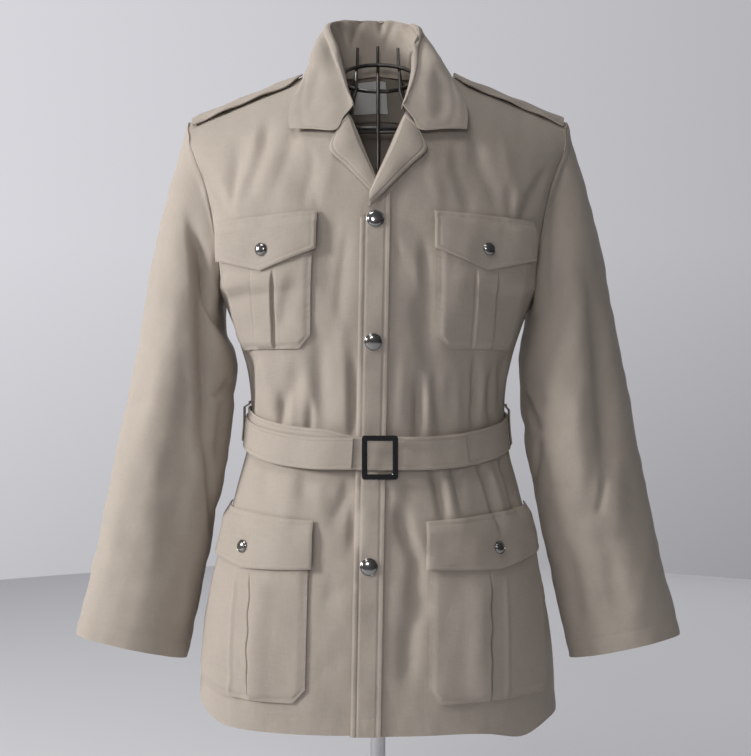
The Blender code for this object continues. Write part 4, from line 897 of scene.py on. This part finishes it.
SEAM_IN, POCKET_IN, FLAP_OVER, FLAP_WALL = 0.0045, 0.002, (0.003, 0.002), 0.0017
stitch_lines = []
share = np.linspace(0, 1, 280)[:, None]
distance = stepped([-LAP, -LAP + 0.0020, 0.0165], [3, 28])[None, :]
top = 0.880 + (distance + LAP) * 0.85
grid, out = front_find(1, distance, HEM - 0.0005 + (top - HEM) * share)
rounded = 0.0009 * ease(distance + LAP, 0.0, 0.0020)
seams = 0.0065 - LAP, 0.0115
for seam, deep in zip(seams, (0.0008, 0.0007)):
    rounded = rounded - bell(distance - seam, 0.0011, deep)
rippled = 0.00012 * np.sin(share * 240 + 4 * np.sin(share * 31))
rippled = rippled * bell(distance + LAP - 0.006, 0.004)
lift = LAY + THIN_WALL + rounded + rippled
grid = grid + out * lift[..., None]
piece = shell("placket_cloth", grid, out, THIN_WALL + 0.0004)
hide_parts("front_placket")
stitch_lines += parallel(grid, out, columns=[nearest(distance[0], seam) for seam in seams])
for side in SIDES:
    for row in range(len(POCKETS["chest"])):
        chest = POCKETS["chest"][row] > 0
        kind = "chest" if chest else "skirt"
        inner_edge, wide, foot = (POCKETS[column][row] for column in ("inner", "wide", "foot"))
        top_in, top_out = POCKETS["top_in"][row], POCKETS["top_out"][row]
        flap, point = POCKETS["flap"][row], POCKETS["point"][row]
        middle, pleat, stand_off = wide / 2, 0.013, 0.0022 if chest else 0.0
        offset = np.unique(np.concatenate([np.linspace(POCKET_IN, wide - POCKET_IN, 62),
                                           np.linspace(middle - 0.024, middle + 0.020, 76)]))
        share = np.linspace(0, 1, 84)[:, None]
        corner = np.clip(0.016 - np.minimum(offset, wide - offset), 0, None)
        low = foot + corner[None, :] * 1.1
        tops = top_in + (top_out - top_in) * offset / wide - 0.012
        height = low + (tops[None, :] - low) * share
        place = inner_edge + offset[None, :] + 0 * share
        points, out = front_find(side, place, height)
        points, out = soften(points, 10), unit(soften(out, 10))
        lay = POCKET_LAY + stand_off * ease(offset / wide, 0.6, 0.95)[None, :]
        sides = np.minimum(offset - POCKET_IN, wide - POCKET_IN - offset)[None, :]
        border = np.minimum(sides + 0 * share, height - low)
        body = 0.0016 * ease(border, -0.0004, 0.010) - bell(border - SEAM_IN, 0.0011, 0.0005)
        puckers = np.sin(height * 700 + offset[None, :] * 300 + 3 * np.sin(height * 90))
        body = body + 0.00018 * puckers * bell(border, 0.006)
        from_middle = offset[None, :] - middle
        opening = (0.30 + 0.70 * np.sin(math.pi * np.clip(share, 0, 1)) ** 0.6)
        box = 0.0028 * (1 - ease(np.abs(from_middle), pleat - 0.0008, pleat + 0.0006))
        dark = bell(from_middle + pleat + 0.0016, 0.0019) * (1.4 if side < 0 else 0.5)
        dark = dark + bell(from_middle - pleat - 0.0016, 0.0019) * (0.4 if side < 0 else 1.2)
        valley = -0.0018 * dark * opening
        swell = bell(from_middle + 0.030, 0.016, 0.0018) * np.sin(math.pi * share)
        if not chest:
            wave = 0.0010 * np.sin(height * 160 + side) * ease(share, 0.05, 0.3)
            slit = from_middle + wave + (0.011 if side > 0 else 0.017 - 0.004 * share)
            box = 0.0030 * (1 - ease(slit, -0.0004, 0.0006)) * ease(from_middle, -0.045, -0.020)
            box = box + bell(from_middle - 0.010, 0.0035, 0.0014)
            valley = -bell(slit - 0.0004, 0.0013, 0.0042) * opening
        covered = ease(share, 0.50, 0.66) if chest else ease(share, 0.60, 0.74)
        shape = (box + valley) * ease(share, 0.0, 0.03) + swell
        lift = lay + THIN_WALL + body + shape * (1 - covered)
        grid = points + out * lift[..., None]
        piece = shell(SIDES[side] + kind + "_pocket_cloth", grid, out, THIN_WALL)
        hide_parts(SIDES[side] + kind + "_pocket")
        inset = nearest(offset, SEAM_IN), nearest(offset, wide - SEAM_IN)
        stitch_lines += [(points_of[2:], normal_of[2:]) for points_of, normal_of in
                         parallel(grid, out, columns=inset)]
        stitch_lines += parallel(grid, out, rows=[2])

        offset = stepped([-FLAP_OVER[0], -0.0015, middle, wide + 0.0005, wide + FLAP_OVER[1]],
                         [2, 32, 32, 2])
        share = stepped([0, 0.03, 0.22, 0.96, 1], [2, 10, 28, 3])[:, None]
        tops = top_in + (top_out - top_in) * offset / wide
        depth = flap + point * (1 - np.abs(offset - middle) / (middle + FLAP_OVER[0]))
        height = tops[None, :] - depth[None, :] * share
        points, out = front_find(side, inner_edge + offset[None, :] + 0 * share, height)
        lay = POCKET_LAY + stand_off * ease(offset / wide, 0.6, 0.95)[None, :]
        sides = np.minimum(offset + FLAP_OVER[0], wide + FLAP_OVER[1] - offset)[None, :]
        border = np.minimum(sides + 0 * share, np.minimum(share, 1 - share) * depth[None, :])
        body = 0.0009 * ease(border, 0.0, 0.0022) - bell(border - 0.0055, 0.0011, 0.0005)
        ripple = 0.00014 * np.sin(offset[None, :] * 780 + 2 * share + 3 * np.sin(offset[None, :] * 120))
        ripple = ripple * bell(border - 0.003, 0.004)
        hang = (0.0040 * ease(share, 0.0, 0.30) + 0.0012 * ease(share, 0.5, 1.0)
                * (0.5 + 0.5 * np.sin(offset[None, :] * 62 + side)))
        pull = -bell(offset[None, :] - middle, 0.018, 0.0022)
        pull = pull * bell(share - 0.62, 0.35)
        lift = lay + hang + 0.0015 + body + ripple + pull
        grid = points + out * lift[..., None]
        piece = shell(SIDES[side] + kind + "_flap_cloth", grid, out, FLAP_WALL)
        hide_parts(SIDES[side] + kind + "_flap")
        SIDES[side] + kind + "_pocket_cloth"
        near = [nearest(offset, at) for at in (0.0025, wide - 0.0035)]
        ends = [nearest(share[:, 0], at) for at in (0.10, 0.90)]
        stitch_lines += parallel(grid, out, columns=near, rows=ends)
stitches("front_stitching", stitch_lines)


# The lapels are the fronts' own facing turned out: two layers, rounded at the roll, a crisp stitched edge.
# Lapel's outer edge, by the share of the roll line from the break up
LAPEL = table(("at", "edge_x", "edge_z"), (
    (0.00, -0.0150, 0.8860),
    (0.25, 0.0145, 0.9175),
    (0.50, 0.0370, 0.9410),
    (0.75, 0.0550, 0.9610),
    (1.00, 0.0465, 0.9830)))


def face_find(side, x, z):
    """Points and normals of a front as seen from straight ahead, at x (to its own side) and z.

    Along a row x = edge + (end - edge) run and z = height + (end_z - height) run, solved by steps.
    """
    x, z = np.broadcast_arrays(x, z)
    height = np.array(z, float)
    for _ in range(14):
        roll = np.where(height > BREAK, smooth(height, FRONT_TOP["height"], FRONT_TOP["roll"]), -LAP)
        edge = side * centre_line(height) + roll
        end_x, _, end_z = armhole_edge(height, FRONT_NECK, -1.0)
        run = np.clip((x - edge) / (end_x - edge), 0.0, 1.0)
        height = np.clip(height + 0.9 * (z - height - (end_z - height) * run), 0.84, FRONT_NECK - 0.001)
    square = whole_column(height, FRONT_TOP, "square")
    across = np.arcsin(run ** (square / 2)) * 2 / math.pi
    base, out = front(side, across, height), front_normals(side, across, height)
    return base + out * unevenness(base, 0.0003)[..., None], out


stitch_lines = []
for side, first in ((1, 0.04), (-1, 0.20)):
    share = np.linspace(first, 1.0, 90)[:, None]
    out_share = stepped([0, 0.12, 0.92, 1], [12, 50, 8])[None, :]
    roll_height = BREAK + (1.004 - BREAK) * share
    roll_x = side * front(side, 0.0, roll_height)[..., 0]
    edge_x = smooth(share, LAPEL["at"], LAPEL["edge_x"])
    edge_z = smooth(share, LAPEL["at"], LAPEL["edge_z"])
    x = roll_x + 0.001 + (edge_x - roll_x - 0.001) * out_share
    z = roll_height + (edge_z - roll_height) * out_share
    points, out = face_find(side, x, z)
    width = np.hypot(edge_x - roll_x, edge_z - roll_height)
    inset = np.minimum((1 - out_share) * width, (1 - share) * 0.115)
    lift = 0.0016 + 0.0030 * ease(out_share, 0.0, 0.12) + 0.0022 * np.sin(math.pi * out_share)
    lift = lift + 0.0006 * ease(inset, 0.0, 0.0018) - bell(inset - 0.0052, 0.0010, 0.0005)
    lift = lift + 0.0006 * np.sin(share * 17 + 3 * out_share) * out_share
    if side < 0:
        lift = lift * (0.45 + 0.55 * ease(share, first, 0.75))
    grid = points + out * lift[..., None]
    grid[..., 0] = side * np.maximum(side * grid[..., 0], -0.010)
    name = SIDES[side] + "lapel"
    piece = shell(name + "_cloth", grid, out, 0.0016)
    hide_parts(name)
    stitch_lines += parallel(grid, out, columns=[nearest(out_share[0], 0.90)], rows=[85])


# The collar: a stand inside the neck seam, a soft fold and a long pointed fall, crumpled where it
# stands highest. It is one folded piece with a stitched edge.
# Collar from its front end to the centre back: fold, outer edge and the bulge between them
COLLAR = table(("at", "fold_x", "fold_y", "fold_z", "mid_x", "mid_y", "mid_z",
                "edge_x", "edge_y", "edge_z"), (
    (0.00, 0.0290, -0.098, 1.014, 0.050, -0.108, 0.964, 0.1006, -0.090, 0.985),
    (0.15, 0.0365, -0.073, 1.038, 0.066, -0.082, 1.010, 0.1020, -0.068, 1.010),
    (0.30, 0.0460, -0.032, 1.076, 0.078, -0.046, 1.070, 0.0960, -0.040, 1.042),
    (0.45, 0.0570, 0.008, 1.116, 0.083, -0.004, 1.112, 0.0880, -0.008, 1.084),
    (0.62, 0.0655, 0.036, 1.147, 0.086, 0.038, 1.130, 0.0860, 0.034, 1.090),
    (0.80, 0.0500, 0.062, 1.162, 0.062, 0.080, 1.142, 0.0640, 0.080, 1.088),
    (1.00, 0.0000, 0.075, 1.166, 0.000, 0.099, 1.146, 0.0000, 0.103, 1.090)))


def body_cloud():
    """Dense points and normals of the upper body, to keep other pieces clear of it."""
    across = np.linspace(0, 1, 60)[None, :]
    points, away = [], []
    for side in SIDES:
        for surface, normal, top in ((front, front_normals, FRONT_NECK), (back, back_normals, BACK_NECK)):
            rows = np.linspace(0.93, top, 60)[:, None]
            points.append(surface(side, across, rows).reshape(-1, 3))
            away.append(normal(side, across, rows).reshape(-1, 3))
    return np.concatenate(points), np.concatenate(away)


def settle(points, cloud, clearance, passes, press):
    """Move points along the nearest cloth's normal to a clearance above it, 500 at a time.

    Without press they are only lifted.
    """
    body, away = cloud
    flat = points.reshape(-1, 3).copy()
    for _ in range(passes):
        closest = np.concatenate([((body[None] - part[:, None]) ** 2).sum(axis=2).argmin(axis=1)
                                  for part in np.array_split(flat, len(flat) // 500 + 1)])
        short = clearance - np.sum((flat - body[closest]) * away[closest], axis=1)
        flat += away[closest] * (short if press else np.clip(short, 0, None))[:, None]
    return flat.reshape(points.shape)


def finer(grid, rows, columns):
    """Grid resampled with the smooth curve along rows, then along columns."""
    old = np.arange(grid.shape[0], dtype=float)
    new = np.linspace(0, grid.shape[0] - 1, rows)
    tall = np.stack([np.stack([smooth(new, old, grid[:, j, k]) for k in range(3)], -1)
                     for j in range(grid.shape[1])], axis=1)
    old = np.arange(grid.shape[1], dtype=float)
    new = np.linspace(0, grid.shape[1] - 1, columns)
    return np.stack([np.stack([smooth(new, old, tall[i, :, k]) for k in range(3)], -1)
                     for i in range(rows)], axis=0)


cloud = body_cloud()
seam_rows = np.array([1.012, 1.028, 1.045, 1.065, FRONT_NECK])
seam = np.concatenate([front(1, 0.0, seam_rows)[:-1], back(1, np.linspace(0.42, 0, 7), BACK_NECK)])
run = np.concatenate([[0], np.linalg.norm(np.diff(seam, axis=0), axis=1).cumsum()])
at = np.linspace(0, 1, 12)
seam = np.stack([np.interp(at, run / run[-1], seam[:, k]) for k in range(3)], axis=1)
inward = unit(seam * [-1.0, -1.0, 0.0])
foot = seam + inward * (0.0050 + 0.0022 * (1 - ease(at, 0.0, 0.3)))[:, None] - [0, 0, 0.001]
foot += (1 - ease(at, 0.0, 0.25))[:, None] * [-0.0035, 0.0, 0.0020]
value = {column: smooth(at, COLLAR["at"], COLLAR[column]) for column in COLLAR}
fold, middle, edge = (np.stack([value[word + "_" + axis] for axis in "xyz"], axis=1)
                      for word in ("fold", "mid", "edge"))
radius = 0.0045
outward = unit(fold * [1.0, 1.0, 0.0])
rows = [foot, foot * 0.5 + (fold - outward * radius) * 0.5, fold - outward * radius]
rows += [fold + (outward * -math.cos(turn) + [0, 0, math.sin(turn)]) * radius
         for turn in np.radians([50, 90, 130])]
start = fold + outward * radius
fall = np.stack([(1 - v) ** 2 * start + 2 * v * (1 - v) * middle + v * v * edge
                 for v in np.linspace(0, 1, 5)])
corner, front_end = np.array([0.0475, -0.106, 0.981]), 1 - ease(at, 0.0, 0.13)
for k, v in enumerate(np.linspace(0, 1, 5)):
    leg = start + (corner - start) * v / 0.5 if v <= 0.5 else corner + (edge - corner) * (v - 0.5) / 0.5
    fall[k] += (leg - fall[k]) * front_end[:, None]
fall[1:] = settle(fall[1:], cloud, 0.0085, 2, press=False)
half = np.concatenate([np.stack(rows), fall])
grid = finer(np.concatenate([half, half[:, -2::-1] * [-1.0, 1.0, 1.0]], axis=1), 66, 241)
FALL_LENGTH, COLLAR_SEAM = 0.062, 0.0050
pushed = ease(grid[..., 2], 1.06, 1.14) * ease(grid[..., 0], 0.015, 0.05)
grid[..., 0] -= 0.011 * pushed
grid[..., 2] -= 0.004 * pushed
out = facing(grid, np.array([0.0, -1.0, 0.2]))
out = out * np.sign(np.sum(out[-1] * (grid[-1] - [0, 0, 1.0]), axis=-1).mean())
down = np.linspace(0, 1, grid.shape[0])[:, None]
round_at = np.linspace(0, 1, grid.shape[1])[None, :]
COLLAR_CREASES = table(CREASE, (
    (402, 24, 418, 46, 2, 2.6, -0.0026, 0.3),
    (410, 22, 424, 38, 0, 2.4, 0.0018, 0.0),
    (397, 34, 413, 60, 2, 2.6, -0.0020, 0.2),
    (336, 22, 347, 44, 2, 2.6, -0.0024, 0.3),
    (329, 28, 338, 60, 2, 3.0, 0.0016, 0.0),
    (352, 20, 358, 40, 0, 3.0, -0.0014, 0.0),
    (381, 14, 382, 36, 0, 3.0, -0.0022, 0.0),
    (338, 20, 366, 42, 3, 3.0, 0.0016, 0.0),
    (364, 16, 350, 52, -2, 3.4, -0.0018, 0.2),
    (398, 18, 384, 56, -3, 3.4, -0.0018, 0.2),
    (318, 60, 306, 118, 3, 6.0, -0.0010, 0.0),
    (434, 58, 440, 122, 3, 6.0, -0.0012, 0.2),
    (424, 70, 430, 124, 0, 5.0, 0.0009, 0.0)))
inside = ease(down, 0.04, 0.14) * (1 - ease(down, 0.20, 0.30)) * ease(grid[..., 1], -0.03, 0.01)
bulge = 1.3 * creases(COLLAR_CREASES, picture(grid)) * (ease(down, 0.22, 0.34) + inside)
edge_gap = np.minimum((1 - down) * FALL_LENGTH, np.minimum(round_at, 1 - round_at) * 0.52)
bulge = bulge - bell(edge_gap - COLLAR_SEAM, 0.0010, 0.0005) * ease(down, 0.5, 0.6)
bulge = bulge + unevenness(grid, 0.0004) * ease(down, 0.3, 0.5) + 0.0006 * ease(edge_gap, 0, 0.002)
grid = grid + out * bulge[..., None]
piece = shell("collar_cloth", grid, out, THIN_WALL)
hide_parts("collar")
row = nearest((1 - down[:, 0]) * FALL_LENGTH, COLLAR_SEAM)
stitch_lines += [(points_of[3:-3], normal_of[3:-3])
                 for points_of, normal_of in parallel(grid, out, rows=[row])]
stitch_lines += [(points_of[31:row], normal_of[31:row])
                 for points_of, normal_of in parallel(grid, out, columns=[2, -3])]
stitches("collar_stitching", stitch_lines)


# The epaulettes: narrow straps along the shoulder seams, pointed at the neck end, with a worked
# buttonhole there and a front edge that stands a little proud.
stitch_lines = []
for side in SIDES:
    along = stepped([0.03, 0.86, 1.0], [90, 22])[:, None]
    sideways = stepped([-1, -0.94, 0.94, 1], [3, 26, 3])[None, :]
    tip, neck = np.array(SHOULDER_TIP), np.array([0.0945, 0.003, 1.0774])
    half_width = 0.019 * (1 - 0.75 * ease(along, 0.86, 1.0)) - 0.001 * along
    points = (tip + (neck - tip) * along)[:, None, :] + np.zeros((1, sideways.size, 1))
    points[..., 1] += sideways * half_width - 0.003
    points[..., 2] += 0.003 - 0.35 * np.abs(sideways * half_width)
    points = soften(settle(points, cloud, 0.0042, 3, press=True), 14)
    points = soften(points.transpose(1, 0, 2), 3).transpose(1, 0, 2).copy()
    points[..., 2] += 0.0016 * np.sin(math.pi * along) * np.clip(-sideways, 0, 1)
    out = facing(points, np.array([0.0, 0.0, 1.0]))
    inset = (1 - np.abs(sideways)) * half_width
    lift = -bell(inset - 0.0048, 0.0009, 0.0005) + 0.0005 * ease(inset, 0.0, 0.0015)
    lift = lift + 0.0008 * np.sin(along * 19 + side) * np.sin(2.2 * sideways + 0.6)
    hole = np.exp(-((along - 0.80) / 0.055) ** 4) * bell(sideways * half_width, 0.0009)
    lift = lift - 0.0011 * hole
    grid = (points + out * lift[..., None]) * [side, 1.0, 1.0]
    out = out * [side, 1.0, 1.0]
    name = SIDES[side] + "epaulette"
    piece = shell(name + "_cloth", grid, out, 0.0016)
    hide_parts(name)
    stitch_lines += parallel(grid, out, columns=[nearest(sideways[0], at) for at in (0.72, -0.72)])
stitches("shoulder_stitching", stitch_lines)


# Inside the back neck: a facing in the same twill and a blank white woven label sewn flat on it.
def inside_neck(low, top, ends, counts, depth):
    """Grid a depth inside the back's outer face, from height low to top and out to ends on each side."""
    rows, halves = np.linspace(low, top, counts[0])[:, None], {}
    for side in SIDES:
        across = np.linspace(0, ends[side], counts[1])[None, :]
        out = back_normals(side, across, rows)
        halves[side] = (back(side, across, rows) - out * depth, out)
    return joined(halves)


grid, out = inside_neck(1.045, 1.086, {-1: 0.24, 1: 0.24}, (40, 40), WALL + 0.0028)
piece = shell("neck_facing_cloth", grid, out, 0.001)
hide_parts("neck_facing")
paper_white = twill("white_label_weave", (0.94, 0.94, 0.93), (0.84, 0.84, 0.83), 0.0005)
grid, out = inside_neck(1.055, 1.0935, {-1: 0.205, 1: 0.12}, (40, 30), WALL + 0.0046)
piece = shell("neck_label_cloth", grid, out, 0.001, paper_white)
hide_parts("neck_label")


# The belt goes once round the waist and through two side loops; its stitched fold holds the buckle, and
# its free end lies over it. A cotton band with four rows of stitching.
BELT_HEIGHT_FRONT = 0.614
BELT_HEIGHT_BACK = 0.640
BELT_WIDTH = 0.038
BELT_WALL = 0.002


def waist_loop(turn, height):
    """Point on the body's outer face at a turn of 0 to 4 quarters from the button line."""
    turn = np.mod(turn, 4.0)
    pieces = [front(1, np.clip(turn, 0, 1), height, centred=True),
              back(1, np.clip(2 - turn, 0, 1), height),
              back(-1, np.clip(turn - 2, 0, 1), height),
              front(-1, np.clip(4 - turn, 0, 1), height, centred=True)]
    choice = np.clip(turn.astype(int), 0, 3)
    return np.choose(choice[..., None], pieces)


def belt_grid(turns, levels, raised, lift):
    """Band round the waist: heights rise towards the back; each point is moved out from the cloth."""
    middle = BELT_HEIGHT_FRONT + (BELT_HEIGHT_BACK - BELT_HEIGHT_FRONT) * ease(
        1 - np.abs(np.mod(turns, 4) - 2) / 2, 0.1, 0.6) + raised
    heights = middle[None, :] + levels[:, None]
    grid = turns[None, :] + 0 * heights
    points = waist_loop(grid, heights)
    ahead = waist_loop(grid + 0.02, heights) - waist_loop(grid - 0.02, heights)
    out = unit(np.stack([ahead[..., 1], -ahead[..., 0], 0 * ahead[..., 0]], axis=-1))
    near = np.abs(np.mod(turns + 2, 4) - 2)
    over_placket = (LAY + THIN_WALL + 0.0006) * (1 - ease(near, 0.20, 0.34))
    border = levels.max() - np.abs(levels)
    body = 0.0007 * ease(border, 0, 0.0016) - bell(border - 0.0045, 0.0009, 0.0005)
    body = body[:, None] + unevenness(points, 0.0005)
    return points + out * (BELT_LAY + lift + over_placket + body)[..., None], out


stitch_lines = []
over = BELT_WALL + BELT_LAY
for name, first, last, count, high, lift, thick, width in (
        ("belt", 0.0, 4.0, 400, 0.009, 0.0, BELT_WALL, BELT_WIDTH),
        ("belt_free_end", 2.90, 3.93, 130, 0.0, over, BELT_WALL, BELT_WIDTH - 0.002),
        ("belt_fold_back", 4.12, 4.42, 50, 0.0, over, THIN_WALL, BELT_WIDTH - 0.001)):
    turns = np.linspace(first, last, count, endpoint=name != "belt")
    levels = np.linspace(-0.5, 0.5, 33) * width
    raised = high * ease(turns, 2.4, 3.1) * (1 - ease(turns, 3.75, 3.98))
    grid, out = belt_grid(turns, levels, raised, lift + thick)
    piece = shell(name + "_cloth", grid, out, thick, ring=name == "belt")
    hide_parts(name)
    stitch_lines += parallel(grid, out, rows=[4, 28], ring=name == "belt")
    if name == "belt_fold_back":
        stitch_lines += parallel(grid, out, columns=[47, 42])
stitches("belt_stitching", stitch_lines)
for side in SIDES:
    levels = np.interp(np.linspace(0, 6, 61), np.arange(7),
                       np.array([-1.0, -0.85, -0.74, 0.0, 0.74, 0.85, 1.0]) * 0.028)
    bridge = ease(0.028 - np.abs(levels), 0.002, 0.008)
    turn = 1.0 if side > 0 else 3.0
    grid = np.full((61, 1), turn) + np.linspace(-0.03, 0.03, 13)[None, :]
    points = waist_loop(grid, 0.6395 + 0.004 * (side < 0) + levels[:, None] + 0 * grid)
    points[..., 0] += side * (LAY + ((1 if side > 0 else 2) * over + 0.0010) * bridge + 0.0020)[:, None]
    name = SIDES[side] + "belt_loop"
    piece = shell(name + "_cloth", points, np.array([side, 0.0, 0.0]), 0.0016)
    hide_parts(name)


# Metal: a flat gunmetal buckle frame, domed nickel buttons with a turned rim, dark steel wire and a
# chromed pole on a turned base.
def metal(name, colour, second, roughness, scratch, coat=0.0):
    """Metal whose roughness and colour drift with fine noise on object coordinates."""
    look, start, shader = new_look(name, roughness, 1.0)
    shader.inputs["Coat Weight"].default_value = coat
    place = start.node("TexCoord", {}, {}, out=3)
    cloud = start.node("TexNoise", {}, {"Vector": place, "Scale": 90.0, "Detail": 4.0})
    fine = start.node("TexNoise", {}, {"Vector": place, "Scale": 900.0, "Detail": 2.0})
    start.tree.links.new(cloud.between(colour, second).socket, shader.inputs["Base Color"])
    start.tree.links.new((fine * scratch + cloud * scratch + roughness).socket, shader.inputs["Roughness"])
    bump = start.node("Bump", {}, {"Strength": 0.08, "Distance": 0.0002, "Height": fine})
    start.tree.links.new(bump.socket, shader.inputs["Normal"])
    return look


nickel = metal("worn_nickel", (0.40, 0.39, 0.375), (0.28, 0.275, 0.265), 0.10, 0.06)
gunmetal = metal("dark_gunmetal", (0.11, 0.11, 0.12), (0.05, 0.05, 0.055), 0.12, 0.08, 0.6)
wire_look = metal("dark_steel_wire", (0.17, 0.16, 0.15), (0.09, 0.085, 0.08), 0.30, 0.12)
chrome = metal("polished_chrome", (0.62, 0.62, 0.62), (0.50, 0.50, 0.51), 0.05, 0.04)


def turned(name, profile, steps, look, sharp=40):
    """Solid of revolution: profile points (r, z) turned to (r cos t, r sin t, z), closed on the axis."""
    profile = np.array(profile)
    turn = np.linspace(0, 2 * math.pi, steps, endpoint=False)[None, :]
    r, z = profile[:, :1], profile[:, 1:] + 0 * turn
    points = np.stack([r * np.cos(turn), r * np.sin(turn), z], axis=-1)
    index = np.arange(points[..., 0].size).reshape(z.shape)
    index = np.concatenate([index, index[:, :1]], axis=1)
    quads = np.stack([index[:-1, :-1], index[:-1, 1:], index[1:, 1:], index[1:, :-1]], axis=-1)
    item = finish_mesh(name, points.reshape(-1, 3), quads.reshape(-1, 4), look, sharp=sharp)
    shape = bmesh.new()
    shape.from_mesh(item.data)
    bmesh.ops.remove_doubles(shape, verts=shape.verts, dist=1e-6)
    bmesh.ops.recalc_face_normals(shape, faces=shape.faces)
    shape.to_mesh(item.data)
    shape.free()
    return item


def button(name, node, place, direction, radius):
    """Domed button with a rolled rim, turned and set square on the cloth."""
    dome = [(math.sin(t) * 0.86, 0.0015 + 0.0024 * math.cos(t)) for t in np.linspace(0, math.pi / 2, 14)]
    rim = [(0.90, 0.0013), (0.95, 0.0016), (0.99, 0.0013), (1.0, 0.0008), (0.97, 0.0002), (0.90, 0.0)]
    profile = [(r * radius, z) for r, z in dome + rim] + [(0.0, 0.0)]
    item = turned(name, profile, 48, nickel, sharp=35)
    up = unit(np.asarray(direction, float))
    sideways = unit(np.cross([0.0, 0.0, 1.0], up))
    turn = np.stack([sideways, np.cross(up, sideways), up])
    points = np.empty(len(item.data.vertices) * 3)
    item.data.vertices.foreach_get("co", points)
    item.data.vertices.foreach_set("co", (points.reshape(-1, 3) @ turn + place).ravel())
    item.data.update()
    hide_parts(node)
    return item


for number, height in enumerate((0.879, 0.741, 0.487), start=1):
    place, direction = front_find(1, np.array([0.0]), np.array([height]))
    place = place[0] + direction[0] * (LAY + THIN_WALL + 0.0010)
    button("front_button_dome_" + str(number), "front_button_" + str(number), place, direction[0], 0.010)
for side in SIDES:
    for row in range(len(POCKETS["chest"])):
        inner_edge, wide, flap, point = (POCKETS[column][row]
                                         for column in ("inner", "wide", "flap", "point"))
        spot = (POCKETS["top_in"][row] + POCKETS["top_out"][row]) / 2 - (flap + point) * 0.62
        place, direction = front_find(side, np.array([inner_edge + wide / 2]), np.array([spot]))
        node = SIDES[side] + ("chest" if row == 0 else "skirt") + "_button"
        place = place[0] + direction[0] * (POCKET_LAY + 0.0038 + 0.0010)
        button(node + "_dome", node, place, direction[0], 0.0075)


# The buckle: a flat oblong frame with broken edges; the belt's fold runs behind its far bar.
centre = np.array([0.002, 0.0, 0.610])
front_y = waist_loop(np.array([0.0]), np.array([centre[2] - 0.02]))[0, 1]
face_y = front_y - (LAY + LAY + THIN_WALL + over + BELT_WALL + 0.0016)
half_w, half_h, bar, thick, rounding = 0.0205, 0.025, 0.0062, 0.0026, 0.0032
turns = np.radians(np.concatenate([start + np.linspace(0, 90, 9) for start in (0, 90, 180, 270)]))
signs = np.repeat(np.array([[1, 1], [-1, 1], [-1, -1], [1, -1]]), 9, axis=0)
arc = np.stack([np.cos(turns), np.sin(turns)], axis=1)
rings = []
for inset, back_by in ((0.0, 0.0002), (0.0, thick - 0.0006), (0.0006, thick), (bar - 0.0006, thick),
                       (bar, thick - 0.0006), (bar, 0.0002)):
    round_by = max(rounding - inset, 0.0008)
    flat = signs * (np.array([half_w, half_h]) - inset - round_by) + arc * round_by
    rings.append(np.stack([centre[0] + flat[:, 0], 0 * flat[:, 0] + face_y - back_by,
                           centre[2] + flat[:, 1]], axis=1))
points = np.stack(rings, axis=1)
index = np.arange(points[..., 0].size).reshape(points.shape[:2])
ahead, over_by = np.roll(index, -1, axis=0), np.roll(index, -1, axis=1)
quads = np.stack([index, ahead, np.roll(ahead, -1, axis=1), over_by], axis=-1).reshape(-1, 4)
buckle = finish_mesh("belt_buckle_frame", points.reshape(-1, 3), quads, gunmetal, sharp=30)
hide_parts("belt_buckle")

# The dress form: its rings and ribs keep the CAD's wires; hub, pole and base are turned finer.
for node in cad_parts:
    if node.endswith(("_ring", "_bow", "_spoke")) or "_rib_" in node:
        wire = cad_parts[node]
        for place in range(len(wire.material_slots)):
            wire.material_slots[place].material = wire_look
for name, node, profile, steps, slot in (
        ("pole_tube", "form_pole", [(0.0, 0.4417), (0.0088, 0.4417), (0.0095, 0.4410), (0.0095, 0.0145),
                                    (0.0, 0.0145)], 64, "form_chrome"),
        ("hub_boss", "form_hub", [(0.0, 0.478), (0.017, 0.478), (0.0192, 0.4770), (0.020, 0.474),
                                  (0.020, 0.446), (0.0192, 0.443), (0.017, 0.442), (0.0, 0.442)], 64,
         "form_chrome"),
        ("base_disc", "form_base", [(0.0, 0.0142), (0.0198, 0.0142), (0.024, 0.0135), (0.10, 0.0114),
                                    (0.150, 0.0083), (0.1600, 0.0070), (0.1640, 0.0052), (0.165, 0.003),
                                    (0.165, 0.0004), (0.1646, 0.0), (0.0, 0.0)], 128, "form_chrome")):
    item = turned(name, profile, steps, chrome)
    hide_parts(node)
